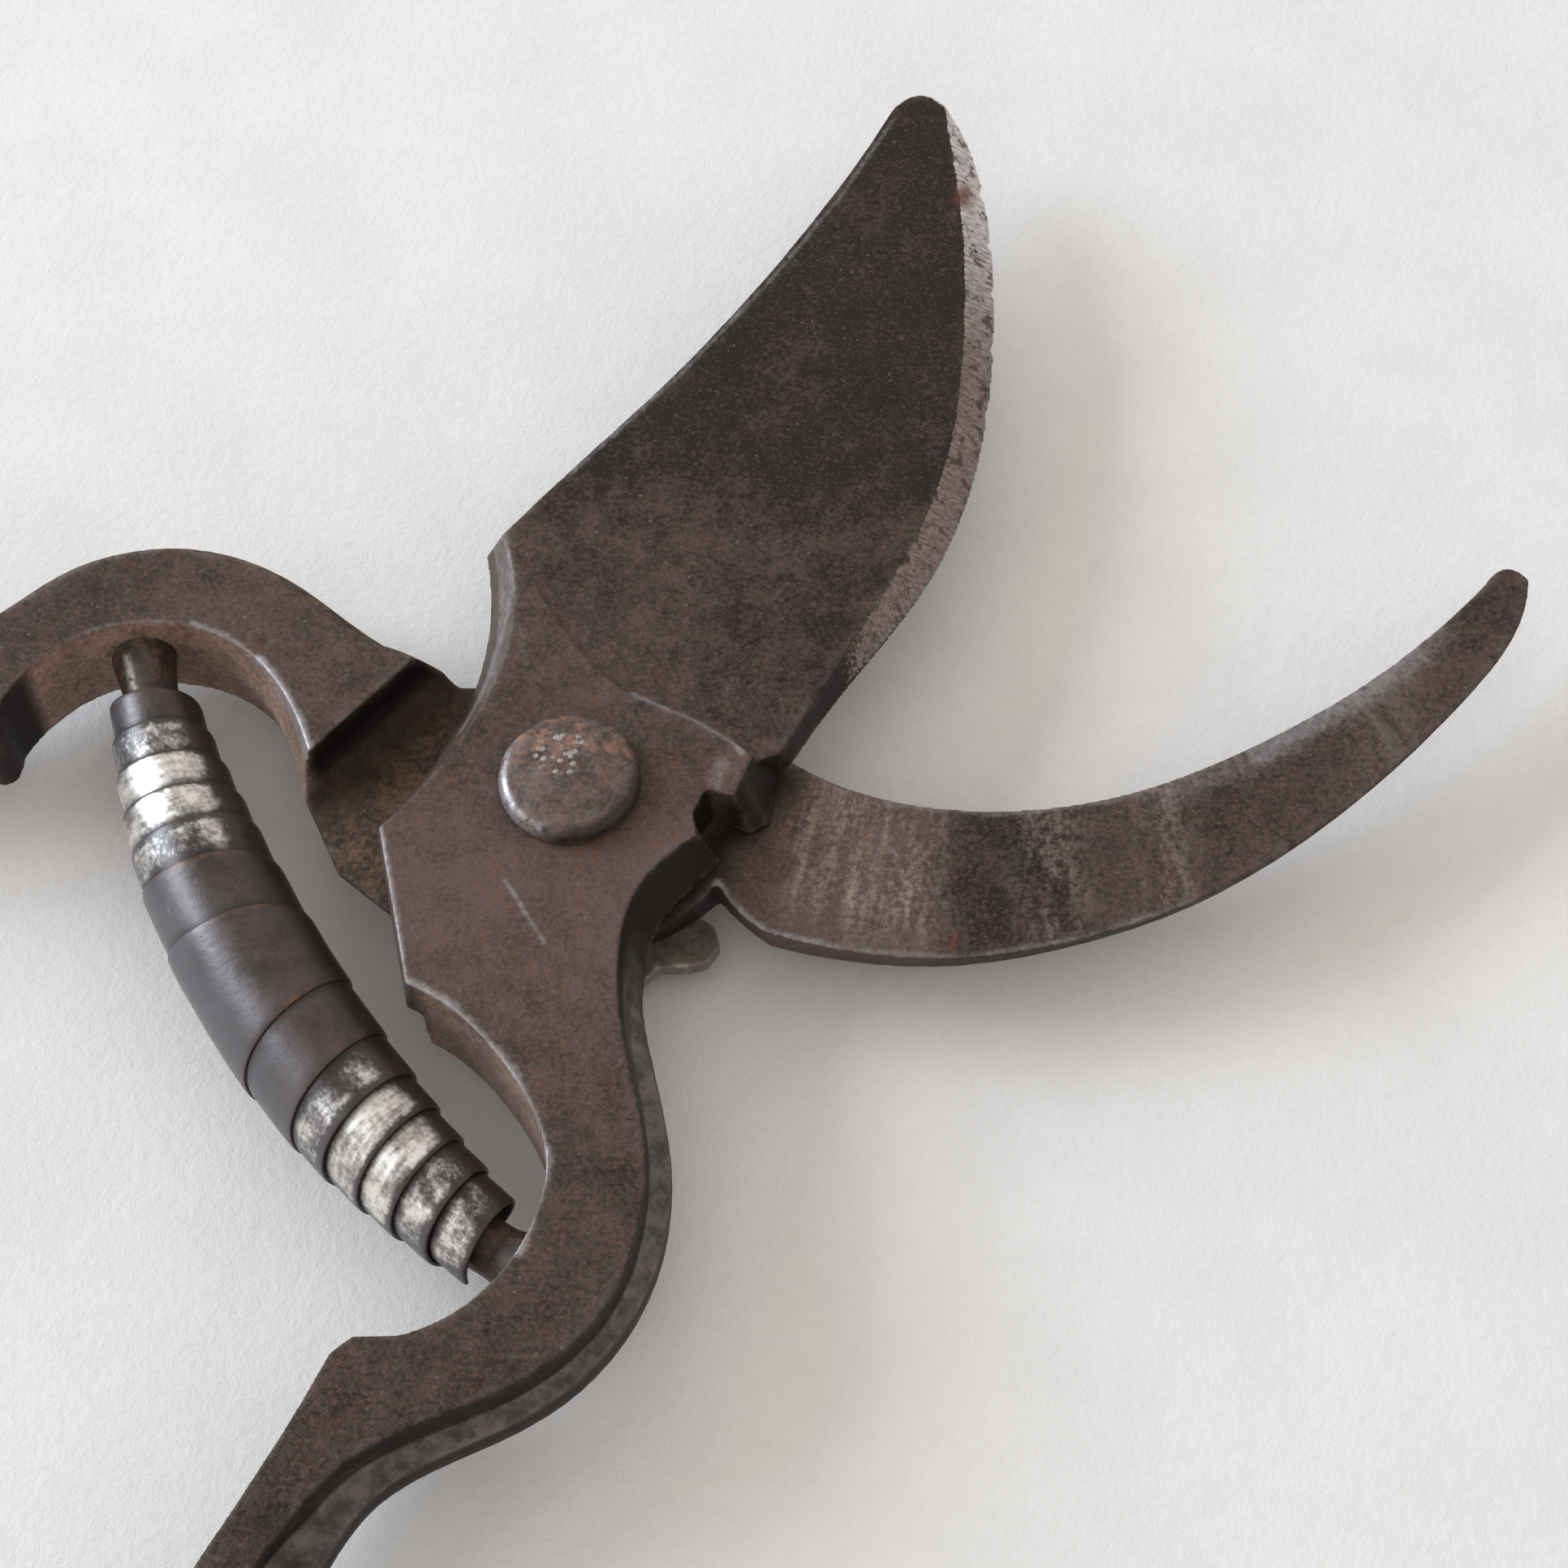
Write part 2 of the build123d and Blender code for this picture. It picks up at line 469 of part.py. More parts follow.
def lip_place(turn):
    """Distance from the middle of the spring to an arm's free edge at a turn."""
    half_length = spring_axis()[1] * spring_axis()[3]
    steep_end = SPRING_START + SPRING_STEEP * SPRING_STEEP_TURNS
    if turn <= SPRING_STEEP_TURNS:
        return SPRING_START + SPRING_STEEP * turn
    share = (turn - SPRING_STEEP_TURNS) / (SPRING_TURNS - SPRING_STEEP_TURNS)
    return steep_end + (half_length - steep_end) * share


def ribbon_edge(side, turn, lip, inner):
    """One corner of an arm's section. side is 1 or -1, towards the blade or the hook."""
    narrowing = (turn / SPRING_TURNS) ** SPRING_TAPER
    radius = SPRING_R_MAX - (SPRING_R_MAX - SPRING_R_MIN) * narrowing
    place = lip_place(turn) if lip else max(lip_place(turn - 1) - SPRING_OVERLAP, 0)
    half_length = spring_axis()[1] * spring_axis()[3]
    return spring_point(side * place / half_length, turn, radius - (SPRING_T if inner else 0))


def volute_spring():
    """One forked steel ribbon. Its outer end is the middle band; from there two
    arms wind inwards, the same way round, to the spring's two ends."""
    steps = 14
    split = 1 + (SPRING_OVERLAP - SPRING_START) / SPRING_STEEP
    stops = [SPRING_FIRST_TURN, split, *range(SPRING_STEEP_TURNS, SPRING_TURNS + 1)]
    corners = [(False, False), (True, False), (True, True), (False, True)]
    faces = []
    for side in (1, -1):
        for start, end in zip(stops, stops[1:]):
            turns = [start + (end - start) * i / steps for i in range(steps + 1)]
            curves = [Spline(*[ribbon_edge(side, t, *c) for t in turns]) for c in corners]
            # up to the split the two arms are one band, so they have no inner edge
            for i in range(3 if end <= split else 4):
                faces.append(Face.make_surface_from_curves(curves[i], curves[(i + 1) % 4]))
        for turn in (SPRING_FIRST_TURN, SPRING_TURNS):
            ring = [ribbon_edge(side, turn, *c) for c in corners]
            faces.append(Face.make_surface_from_curves(Line(ring[0], ring[1]), Line(ring[3], ring[2])))
    return Solid(Shell(faces))


# ---- build ----
def main():
    nodes = {
        "blade_and_handle": blade_and_handle(),
        "hook_and_handle": hook_and_handle(),
        "pivot_bolt": pivot_bolt(),
        "pivot_nut": pivot_nut(),
        "nut_keeper_plate": nut_keeper(),
        "nut_keeper_screw": screw(KEEPER_SCREW_R, KEEPER_SCREW_END, 2.3, -HALF - KEEPER_T, 1.3,
                                  keeper_screw_place(), 35),
        "spring_peg_hook_side": peg_parts(HOOK_PEG, HOOK_PEG_DEG, HOOK_PEG_REACH)[0],
        "spring_peg_blade_side": peg_parts(BLADE_PEG, BLADE_PEG_DEG, BLADE_PEG_REACH)[0],
        "volute_spring": volute_spring(),
        "catch_lever": catch_lever(),
        "catch_washer": catch_washer(),
        "catch_screw": screw(CATCH_SCREW_R, CATCH_SCREW_END, CATCH_HEAD_R,
                             CATCH_TOP - CATCH_T - 0.06 - CATCH_WASHER_T, 1.4, CATCH_PIVOT, -20),
    }
    for name, shape in nodes.items():
        export_step(shape, "parts/" + name + ".step")


main()
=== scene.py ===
import bmesh
import bpy
import math
import numpy as np
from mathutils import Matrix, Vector


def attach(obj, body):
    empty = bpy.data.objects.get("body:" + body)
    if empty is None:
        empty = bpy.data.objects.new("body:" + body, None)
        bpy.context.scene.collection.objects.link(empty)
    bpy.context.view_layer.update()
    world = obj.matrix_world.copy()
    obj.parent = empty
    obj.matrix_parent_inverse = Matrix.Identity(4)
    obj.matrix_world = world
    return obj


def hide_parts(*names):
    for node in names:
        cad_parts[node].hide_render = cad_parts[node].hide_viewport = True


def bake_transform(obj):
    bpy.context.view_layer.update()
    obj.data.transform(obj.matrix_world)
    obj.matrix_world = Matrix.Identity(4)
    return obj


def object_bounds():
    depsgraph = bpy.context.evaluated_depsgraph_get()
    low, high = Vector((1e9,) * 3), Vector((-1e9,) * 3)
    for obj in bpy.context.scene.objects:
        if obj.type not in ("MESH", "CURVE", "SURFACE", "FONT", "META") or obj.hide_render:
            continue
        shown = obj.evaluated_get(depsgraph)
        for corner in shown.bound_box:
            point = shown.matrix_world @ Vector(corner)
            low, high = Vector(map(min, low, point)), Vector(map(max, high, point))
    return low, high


MM = 0.001
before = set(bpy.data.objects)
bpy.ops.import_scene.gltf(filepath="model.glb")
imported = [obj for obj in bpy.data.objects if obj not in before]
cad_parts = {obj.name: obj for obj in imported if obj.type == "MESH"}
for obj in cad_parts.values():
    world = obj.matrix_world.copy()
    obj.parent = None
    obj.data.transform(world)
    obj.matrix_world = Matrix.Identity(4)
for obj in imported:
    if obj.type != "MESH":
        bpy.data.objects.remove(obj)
CAD_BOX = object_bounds()
UNDERSIDE = CAD_BOX[0].z        # the nut's flat end, which the shears lie on

# ---- driving sizes, in millimetres ----
FACE_Z = 5.5            # height of the forgings' flat faces over the lap plane
STEP_ANGLE = 138        # direction of the hook forging's step, seen from the pivot
STEP_DIST = 20.3        # from the pivot axis to the step wall
FORGING_VOXEL = 0.26    # mesh sizes of the pieces made again
BOLT_VOXEL = 0.16
SMALL_VOXEL = 0.14
WASHER_VOXEL = 0.08
WELD_GAP = 0.002        # corners of a CAD node closer than this are one
NARROW_ROUNDS = 2       # how often wear is averaged with its neighbours, for sharp edges
WIDE_ROUNDS = 14        # and for broad ones
# unevenness of the pieces: scale and height of each layer of noise
FORGING_DENTS = [(6, 0.10), (1.6, 0.045)]
BOLT_DENTS = [(3.0, 0.10), (0.9, 0.05)]
SMALL_DENTS = [(2.5, 0.05)]
FLOOR_SIZE = 6000
FLOOR_GAP = 0.05        # between the nut's end and the floor

# ---- view and light: metres and degrees ----
CAMERA_AT = (0.019507, -0.148119, 0.262100)
CAMERA_TILT = 30        # off the vertical
LENS = 74.53
SENSOR = 36.0
WINDOW_AT = (-1.70, 0.62, 0.95)
WINDOW_WIDTH = 1.15
WINDOW_HEIGHT = 0.85
WINDOW_WATTS = 33.0
SKY_STRENGTH = 0.73

# ---- the spring, in millimetres: its ends on their pegs and its forked ribbon, as in the CAD ----
HOOK_PEG = (-40.2, 12.1)
BLADE_PEG = (-5.1, -43.3)
SPRING_BOW = 5.0
SPRING_TURNS = 7
SPRING_FIRST_TURN = 0.2
SPRING_R_MAX = 6.7
SPRING_R_MIN = 4.1
SPRING_TAPER = 1.4
RIBBON_T = 0.38
SPRING_START = 0.6
SPRING_STEEP = 6.6
SPRING_STEEP_TURNS = 2
SPRING_OVERLAP = 3.5
# what the visual ribbon has besides
RIBBON_LIP = 0.10       # rounding of the ribbon's edges
RIBBON_WELD = 0.001     # the two arms' shared points are closer than this
LIP_WAVER = 0.12        # how uneven the lips and the radius are
RADIUS_WAVER = 0.03
STEPS_PER_TURN = 96
# how bright each turn of the two arms is rubbed, from the middle band outwards
HOOK_ARM_SHINE = (0.0, 0.0, 0.35, 0.60, 0.95, 0.85, 0.30, 0.10)
BLADE_ARM_SHINE = (0.0, 0.0, 0.28, 0.60, 1.0, 0.62, 0.45, 0.62)
SHINE_LAG = 0.25        # in turns; the top of the spring then lies midway between two values

# worn places: a line of points in plan, the distance at which it has half faded, its strength
BLADE_BARE = [
    ([(-7.2, 27.6), (-6.2, 21.8), (-7.0, 18.2), (-8.5, 11.9), (-10.6, 7.2)], 0.5, 0.42),
    ([(-8.4, 27.0), (-7.7, 21.0), (-8.5, 15.0), (-9.6, 11.0)], 2.2, 0.36),
    ([(-1.2, 35.0), (9.9, 48.4), (18.8, 60.8), (25.5, 71.5), (31.0, 82.0)], 0.3, 0.36),
    ([(-17.4, -3.4), (-15.6, -11.5), (-14.0, -19.8)], 0.42, 0.55),
    ([(-13.9, -20.2), (-10.0, -22.5), (-4.3, -28.8), (-0.9, -37.1), (-3.0, -45.2)], 0.75, 0.62),
    ([(5.4, 9.9), (8.0, 8.6), (11.4, 7.0), (14.6, 4.9), (15.6, 3.4)], 0.42, 0.50),
    ([(13.9, 2.2), (13.2, 0.3)], 0.8, 0.36),
    ([(-5.5, -10.0), (-1.8, -16.2)], 0.26, 0.46),
    ([(-5.3, 17.0), (-4.6, 13.0)], 0.5, 0.2)]
HOOK_BARE = [
    ([(-29.6, 13.4), (-27.2, 10.0), (-25.4, 6.6), (-23.9, 2.6)], 0.65, 0.74),
    ([(-36.0, 17.4), (-32.6, 16.0), (-29.6, 13.4)], 0.4, 0.44),
    ([(-50.4, 13.0), (-45.4, 16.8), (-39.0, 17.8)], 0.4, 0.3),
    ([(13.4, -7.2), (14.7, -9.5), (17.6, -12.2), (24.3, -14.1)], 0.5, 0.55),
    ([(24.3, -14.1), (35.5, -15.0), (47.0, -12.9), (57.0, -9.2)], 0.42, 0.38),
    ([(29.0, 1.2), (39.5, 0.0), (50.0, 1.4), (63.6, 6.6), (77.4, 15.6)], 0.5, 0.30),
    ([(55.0, 2.4), (63.6, 6.0), (74.0, 12.8), (82.5, 19.8)], 2.0, 0.30),
    ([(64.0, 6.4), (74.0, 12.8), (80.0, 17.6)], 1.6, 0.44),
    ([(-53.7, 19.6), (-49.6, 22.8), (-45.2, 25.2), (-39.2, 26.4), (-34.2, 25.6)], 0.8, 0.3)]
# the same on the catch lever's edge and on a peg, without a strength
LEVER_BARE = ([(7.9, -12.8), (9.2, -12.95), (10.4, -12.9)], 0.3)
PEG_BARE = ([(-41.3, 11.0), (-42.6, 15.6)], 0.30)
# the walls inside the two bows, where the scale has rusted brown
BLADE_BOW_WALL = [(-12.0, -21.5), (-4.3, -28.8), (-0.9, -37.1), (-3.0, -45.2), (-8.2, -50.9)]
HOOK_BOW_WALL = [(-25.0, 2.0), (-28.8, 11.6), (-33.2, 15.8), (-39.0, 17.5), (-45.4, 16.6), (-50.6, 12.8)]
BOW_WALL_WIDTH = 1.1
# painted shade in the corner round the notch, between the blade's heel and the hook's root
NOOK_LINE = [(7.8, -11.6), (12.6, -6.4), (13.4, -3.0), (16.4, -1.0), (19.2, 3.6)]
NOOK_WIDTH = 1.7
# red rust, one spot on the bevel and one on the hook's outer edge: line, width, strength
BEVEL_RED = ([(37.9, 71.2), (38.3, 73.0)], 0.75, 0.85)
HOOK_RED = ([(34.6, -14.0), (35.1, -12.6)], 0.22, 0.8)
PUNCH_MARKS = ((-29.1, 15.5, 0.7, 0.22), (-52.2, 13.7, 0.7, 0.22))      # x, y, radius, depth
EDGE_NICKS = ((40.9, 67.0, 0.9, 0.35), (41.3, 60.8, 1.0, 0.45), (41.1, 53.6, 1.2, 0.40),
              (39.9, 45.6, 0.8, 0.25), (40.4, 73.6, 1.4, 0.30))         # x, y, radius, depth
# pale streaks across the hook: x, width, strength
HOOK_STREAKS = ((21.5, 2.6, 0.9), (25.5, 3.4, 1.0), (30.5, 4.2, 0.9),
                (44.0, 3.5, 0.6), (54.5, 3.0, 0.55), (75, 5, 0.3))
HOOK_CENTRE = (40.0, 70.0)      # the hook's edges are roughly circles about this point
HOOK_INNER_R = 70
HOOK_RIM_FADE = (87, 80)        # distance from that point at which the streaks begin
# the pivot boss's edge towards the blade, and how soft that edge is from left to right
BOSS_EDGE_X = (-9.4, -2.6, 5.0, 12.0, 19.2)
BOSS_EDGE_Y = (28.4, 19.2, 11.2, 7.6, 5.0)
BOSS_FADE_X = (-4, 8)
BOSS_FADE = (9.0, 0.5)
# where one part of a forging passes into another: x or y from 0 to 1 of the second part
PLATE_FADE = (6, -8)            # y, boss to plate
GRIP_FADE = (-14, -34)          # y, plate to grip
GRIP_END_FADE = (-45, -62)
TIP_FADE = (26, 46)             # y, along the blade
EDGE_FADE = (8, 16)             # x, across the blade
BEVEL_FADE = (21, 31)           # x, where the bevel fades in past the heel
BLADE_FLANGE_FADE = (-12, -24)  # y
HOOK_FLANGE_FADE = (-40, -50)   # x
HOOK_FADE = (10, 20)            # x, plate to hook
LAP_FADE = (16, 8)              # x, hook to lap face
# the bolt head: where its pitted crown lies, and where its rim begins
CROWN_AT = (-0.7, 1.8)
CROWN_FADE = (3.2, 1.6)
RIM_R_FADE = (4.9, 5.8)
RIM_Z_FADE = (5.9, 6.5)
LEE = (0.78, -0.62)             # direction in plan away from the window

# how brown the forging scale is (its tone): 0 near black, 1 light brown
BOSS_TONE = 0.52
PLATE_RISE = 0.38       # from the boss down to the plate
GRIP_DROP = 0.62        # from the plate down to the grip
BLADE_DROP = 0.10       # from the boss to the blade, and more towards its tip and edge
TIP_DROP = 0.54
EDGE_DROP = 0.12
HOOK_PLATE_TONE = 0.56
HOOK_DROP = 0.14        # from the plate to the hook
DARK_BAND = (41, 0.30)  # x and strength of the hook's dark and pale bands
PALE_BAND = (25, 0.40)
UNDER_TONE = 0.55

# ---- colours ----
SOOT = (0.0150, 0.0100, 0.0092)
SCALE_BROWN = (0.120, 0.0775, 0.0660)
RUST = (0.170, 0.077, 0.040)
DARK_GRIT = (0.021, 0.0135, 0.0115)
PALE_GRIT = (0.205, 0.150, 0.122)
LAP_DARK = (0.040, 0.026, 0.019)
LAP_LIGHT = (0.190, 0.120, 0.078)
STEP_SHADE = (0.018, 0.012, 0.0095)
WALL_DARK = (0.185, 0.117, 0.085)
WALL_LIGHT = (0.385, 0.270, 0.218)
SPECK = (0.24, 0.23, 0.225)
STREAK = (0.300, 0.245, 0.208)
GRIME = (0.012, 0.008, 0.007)
SHADE = (0.004, 0.003, 0.003)
RUBBED_EDGE = (0.24, 0.20, 0.185)
FLANGE_DARK = (0.062, 0.054, 0.050)
FLANGE_LIGHT = (0.170, 0.150, 0.138)
BARE_STEEL = (0.420, 0.410, 0.432)
STONE_DARK = (0.135, 0.100, 0.086)
STONE_LIGHT = (0.290, 0.235, 0.212)
POLISH_DARK = (0.36, 0.335, 0.33)
POLISH_LIGHT = (0.72, 0.69, 0.69)
BEVEL_SPOT = (0.060, 0.038, 0.030)
RED_RUST = (0.165, 0.048, 0.032)
BOLT_DARK = (0.056, 0.039, 0.035)
BOLT_LIGHT = (0.165, 0.124, 0.115)
BOLT_PIT = (0.46, 0.43, 0.42)
BOLT_RUST = (0.27, 0.135, 0.088)
BOLT_GRIME = (0.010, 0.007, 0.006)
BOLT_RIM_HIGHLIGHT = (0.56, 0.55, 0.59)
BOLT_SHADE = (0.012, 0.009, 0.0085)
RIBBON_DARK = (0.046, 0.035, 0.032)
RIBBON_LIGHT = (0.092, 0.074, 0.071)
RIBBON_RUST = (0.13, 0.068, 0.042)
LIP_RUST = (0.160, 0.080, 0.045)
RIBBON_BLUE_SHEEN = (0.165, 0.160, 0.185)
SILVER_DARK = (0.30, 0.28, 0.26)
SILVER_LIGHT = (0.88, 0.85, 0.81)
RIBBON_STAIN = (0.115, 0.095, 0.085)
RIBBON_AWAY_SHADE = (0.026, 0.019, 0.018)
RIBBON_TUCKED_SHADE = (0.014, 0.011, 0.010)
LEVER_SCALE = ((0.080, 0.073, 0.062), (0.175, 0.161, 0.138))        # dark, light
PEG_SCALE = ((0.018, 0.012, 0.010), (0.062, 0.041, 0.033))
FASTENER_SCALE = ((0.040, 0.032, 0.030), (0.105, 0.085, 0.078))
SMALL_RUST = (0.17, 0.078, 0.044)
SMALL_BARE = (0.40, 0.375, 0.35)
PAINT_DARK = (0.815, 0.810, 0.808)
PAINT_LIGHT = (0.86, 0.855, 0.852)
PAINT_GRAIN = (0.76, 0.75, 0.745)
SKY = (1.0, 0.940, 0.885)
WINDOW = (0.80, 0.91, 1.0)


# ---- meshes from the CAD nodes ----
def link(name, mesh):
    obj = bpy.data.objects.new(name, mesh)
    bpy.context.scene.collection.objects.link(obj)
    return obj


ORIGIN = link("texture_origin", None)


def baked_mesh(obj):
    """The object's mesh with its modifiers applied; the modifiers are then removed."""
    bpy.context.view_layer.update()
    evaluated = obj.evaluated_get(bpy.context.evaluated_depsgraph_get())
    mesh = bpy.data.meshes.new_from_object(evaluated)
    obj.modifiers.clear()
    obj.data = mesh
    return mesh


def welded_copy(node, name):
    """Copy of a CAD node whose faces share their corners."""
    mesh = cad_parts[node].data.copy()
    edit = bmesh.new()
    edit.from_mesh(mesh)
    bmesh.ops.remove_doubles(edit, verts=edit.verts, dist=WELD_GAP * MM)
    edit.to_mesh(mesh)
    edit.free()
    return link(name, mesh)


def clouds(obj, scale, height):
    """Raises and lowers the surface by noise of this scale and height, in millimetres."""
    texture = bpy.data.textures.new(obj.name + "_clouds", "CLOUDS")
    texture.noise_scale = scale * MM
    texture.noise_depth = 2
    texture.noise_basis = "IMPROVED_PERLIN"
    push = obj.modifiers.new("clouds", "DISPLACE")
    push.texture = texture
    push.texture_coords = "OBJECT"
    push.texture_coords_object = ORIGIN
    push.strength = height * MM
    push.mid_level = 0.5


def smooth(values, low, high):
    """values from low..high become 0..1 along a soft curve."""
    t = np.clip((values - low) / (high - low), 0, 1)
    return t * t * (3 - 2 * t)


def store_layer(mesh, name, values):
    layer = mesh.attributes.new(name, "FLOAT", "POINT")
    layer.data.foreach_set("value", values.astype(np.float32))


class Skin:
    """Points and normals of a mesh, in millimetres, for marking and denting it."""

    def __init__(self, mesh):
        self.mesh = mesh
        self.count = len(mesh.vertices)
        points = np.empty(self.count * 3, np.float32)
        normals = np.empty(self.count * 3, np.float32)
        edges = np.empty(len(mesh.edges) * 2, np.int32)
        mesh.vertices.foreach_get("co", points)
        mesh.vertices.foreach_get("normal", normals)
        mesh.edges.foreach_get("vertices", edges)
        self.points = points.reshape(-1, 3).astype(float) / MM
        self.normals = normals.reshape(-1, 3).astype(float)
        self.edges = edges.reshape(-1, 2)
        self.x, self.y, self.z = self.points.T
        self.nx, self.ny, self.nz = self.normals.T

    def neighbour_mean(self, values):
        total = (np.bincount(self.edges[:, 0], values[self.edges[:, 1]], self.count)
                 + np.bincount(self.edges[:, 1], values[self.edges[:, 0]], self.count))
        return total / np.maximum(np.bincount(self.edges.ravel(), minlength=self.count), 1)

    def spread(self, values, rounds):
        for _ in range(rounds):
            values = self.neighbour_mean(values)
        return values

    def store(self, name, values):
        """Stores a value for every point, cut to 0..1."""
        store_layer(self.mesh, name, np.clip(values, 0, 1))

    def put_back(self):
        self.mesh.vertices.foreach_set("co", (self.points * MM).astype(np.float32).ravel())
        self.mesh.update()

    def near(self, line, width):
        """1 on a line of points in plan, one half at this distance, 0 at twice as far."""
        best = np.full(self.count, np.inf)
        for (ax, ay), (bx, by) in zip(line, line[1:]):
            length = (bx - ax) ** 2 + (by - ay) ** 2
            t = np.clip(((self.x - ax) * (bx - ax) + (self.y - ay) * (by - ay)) / length, 0, 1)
            best = np.minimum(best, np.hypot(self.x - ax - t * (bx - ax), self.y - ay - t * (by - ay)))
        return smooth(best, 2 * width, 0)

    def mark_wear(self, step):
        """Stores how far each place stands out (wear) or lies in a hollow (hollow), which
        is told from its distance to the mean of its neighbours, near and farther off."""
        offset = self.points - np.stack([self.neighbour_mean(c) for c in self.points.T], 1)
        narrow = self.spread((offset * self.normals).sum(1) / step, NARROW_ROUNDS)
        wide = self.spread(narrow, WIDE_ROUNDS)
        self.store("wear", narrow * 6 + wide * 5)
        self.store("hollow", -narrow * 5 - wide * 12)


def worn_piece(node, body, voxel, relax, dents):
    """A CAD node made again as an even mesh with rounded edges and an uneven skin."""
    obj = welded_copy(node, node + "_worn")
    remesh = obj.modifiers.new("even", "REMESH")
    remesh.mode = "VOXEL"
    remesh.voxel_size = voxel * MM
    soften = obj.modifiers.new("relax", "SMOOTH")
    soften.factor = 0.5
    soften.iterations = relax
    for scale, height in dents:
        clouds(obj, scale, height)
    baked_mesh(obj).shade_smooth()
    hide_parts(node)
    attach(obj, body)
    return obj


def dress(obj, material):
    obj.data.materials.clear()
    obj.data.materials.append(material)


# ---- shader building ----
class Shader:
    """Short calls for making and joining the nodes of one material."""

    def __init__(self, name):
        self.material = bpy.data.materials.new(name)
        self.material.use_nodes = True
        self.tree = self.material.node_tree
        self.tree.nodes.clear()
        out = self.tree.nodes.new("ShaderNodeOutputMaterial")
        self.bsdf = self.tree.nodes.new("ShaderNodeBsdfPrincipled")
        self.tree.links.new(self.bsdf.outputs[0], out.inputs[0])
        self.place = self.tree.nodes.new("ShaderNodeTexCoord").outputs["Object"]

    def put(self, socket, value):
        if isinstance(value, bpy.types.NodeSocket):
            self.tree.links.new(value, socket)
        elif isinstance(value, tuple) and socket.type == "RGBA":
            socket.default_value = (*value, 1)
        else:
            socket.default_value = value

    def set(self, **values):
        for name, value in values.items():
            self.put(self.bsdf.inputs[name.replace("_", " ")], value)

    def maths(self, kind, a, b):
        node = self.tree.nodes.new("ShaderNodeMath")
        node.operation = kind
        self.put(node.inputs[0], a)
        self.put(node.inputs[1], b)
        return node.outputs[0]

    def sum(self, *pairs):
        """Weighted sum of (value, weight) pairs."""
        total = None
        for value, weight in pairs:
            part = self.maths("MULTIPLY", value, weight)
            total = part if total is None else self.maths("ADD", total, part)
        return total

    def times(self, a, b):
        return self.maths("MULTIPLY", a, b)

    def ramp(self, value, low, high, to_low=0.0, to_high=1.0):
        """value from low..high becomes to_low..to_high, smoothly."""
        node = self.tree.nodes.new("ShaderNodeMapRange")
        node.interpolation_type = "SMOOTHSTEP"
        for name, number in (("From Min", low), ("From Max", high), ("To Min", to_low), ("To Max", to_high)):
            node.inputs[name].default_value = number
        self.put(node.inputs["Value"], value)
        return node.outputs["Result"]

    def mix(self, share, a, b):
        """Colour a where share is 0 and b where it is 1."""
        node = self.tree.nodes.new("ShaderNodeMix")
        node.data_type = "RGBA"
        self.put(node.inputs["Factor"], share)
        self.put(node.inputs[6], a)
        self.put(node.inputs[7], b)
        return node.outputs[2]

    def turned(self, x, y, z, stretch=(1, 1, 1)):
        """The place on the object, turned by these degrees, so that two noises differ,
        and stretched."""
        node = self.tree.nodes.new("ShaderNodeMapping")
        node.inputs["Scale"].default_value = stretch
        node.inputs["Rotation"].default_value = [math.radians(a) for a in (x, y, z)]
        self.put(node.inputs["Vector"], self.place)
        return node.outputs[0]

    def joined(self, x, y, z=0.0):
        node = self.tree.nodes.new("ShaderNodeCombineXYZ")
        for socket, value in zip(node.inputs, (x, y, z)):
            self.put(socket, value)
        return node.outputs[0]

    def axis(self, index):
        """One coordinate of the place on the object, in millimetres."""
        node = self.tree.nodes.new("ShaderNodeSeparateXYZ")
        self.put(node.inputs[0], self.place)
        return self.maths("MULTIPLY", node.outputs[index], 1 / MM)

    def noise(self, size, detail=4, rough=0.6, place=None):
        """Noise whose blobs are about size millimetres across, from 0 to 1."""
        node = self.tree.nodes.new("ShaderNodeTexNoise")
        node.inputs["Scale"].default_value = 1 / (size * MM)
        node.inputs["Detail"].default_value = detail
        node.inputs["Roughness"].default_value = rough
        self.put(node.inputs["Vector"], place or self.place)
        return node.outputs["Fac"]

    def cells(self, size):
        """Distance to the nearest of scattered points about size millimetres apart."""
        node = self.tree.nodes.new("ShaderNodeTexVoronoi")
        node.inputs["Scale"].default_value = 1 / (size * MM)
        self.put(node.inputs["Vector"], self.place)
        return node.outputs["Distance"]

    def painted(self, name):
        """A value stored on the mesh."""
        node = self.tree.nodes.new("ShaderNodeAttribute")
        node.attribute_name = name
        return node.outputs["Fac"]

    def bump(self, height, depth, under=None):
        """Bump from a 0..1 height; depth is its full height in millimetres."""
        node = self.tree.nodes.new("ShaderNodeBump")
        node.inputs["Strength"].default_value = 1.0
        node.inputs["Distance"].default_value = depth * MM
        self.put(node.inputs["Height"], height)
        if under is not None:
            self.put(node.inputs["Normal"], under)
        return node.outputs[0]


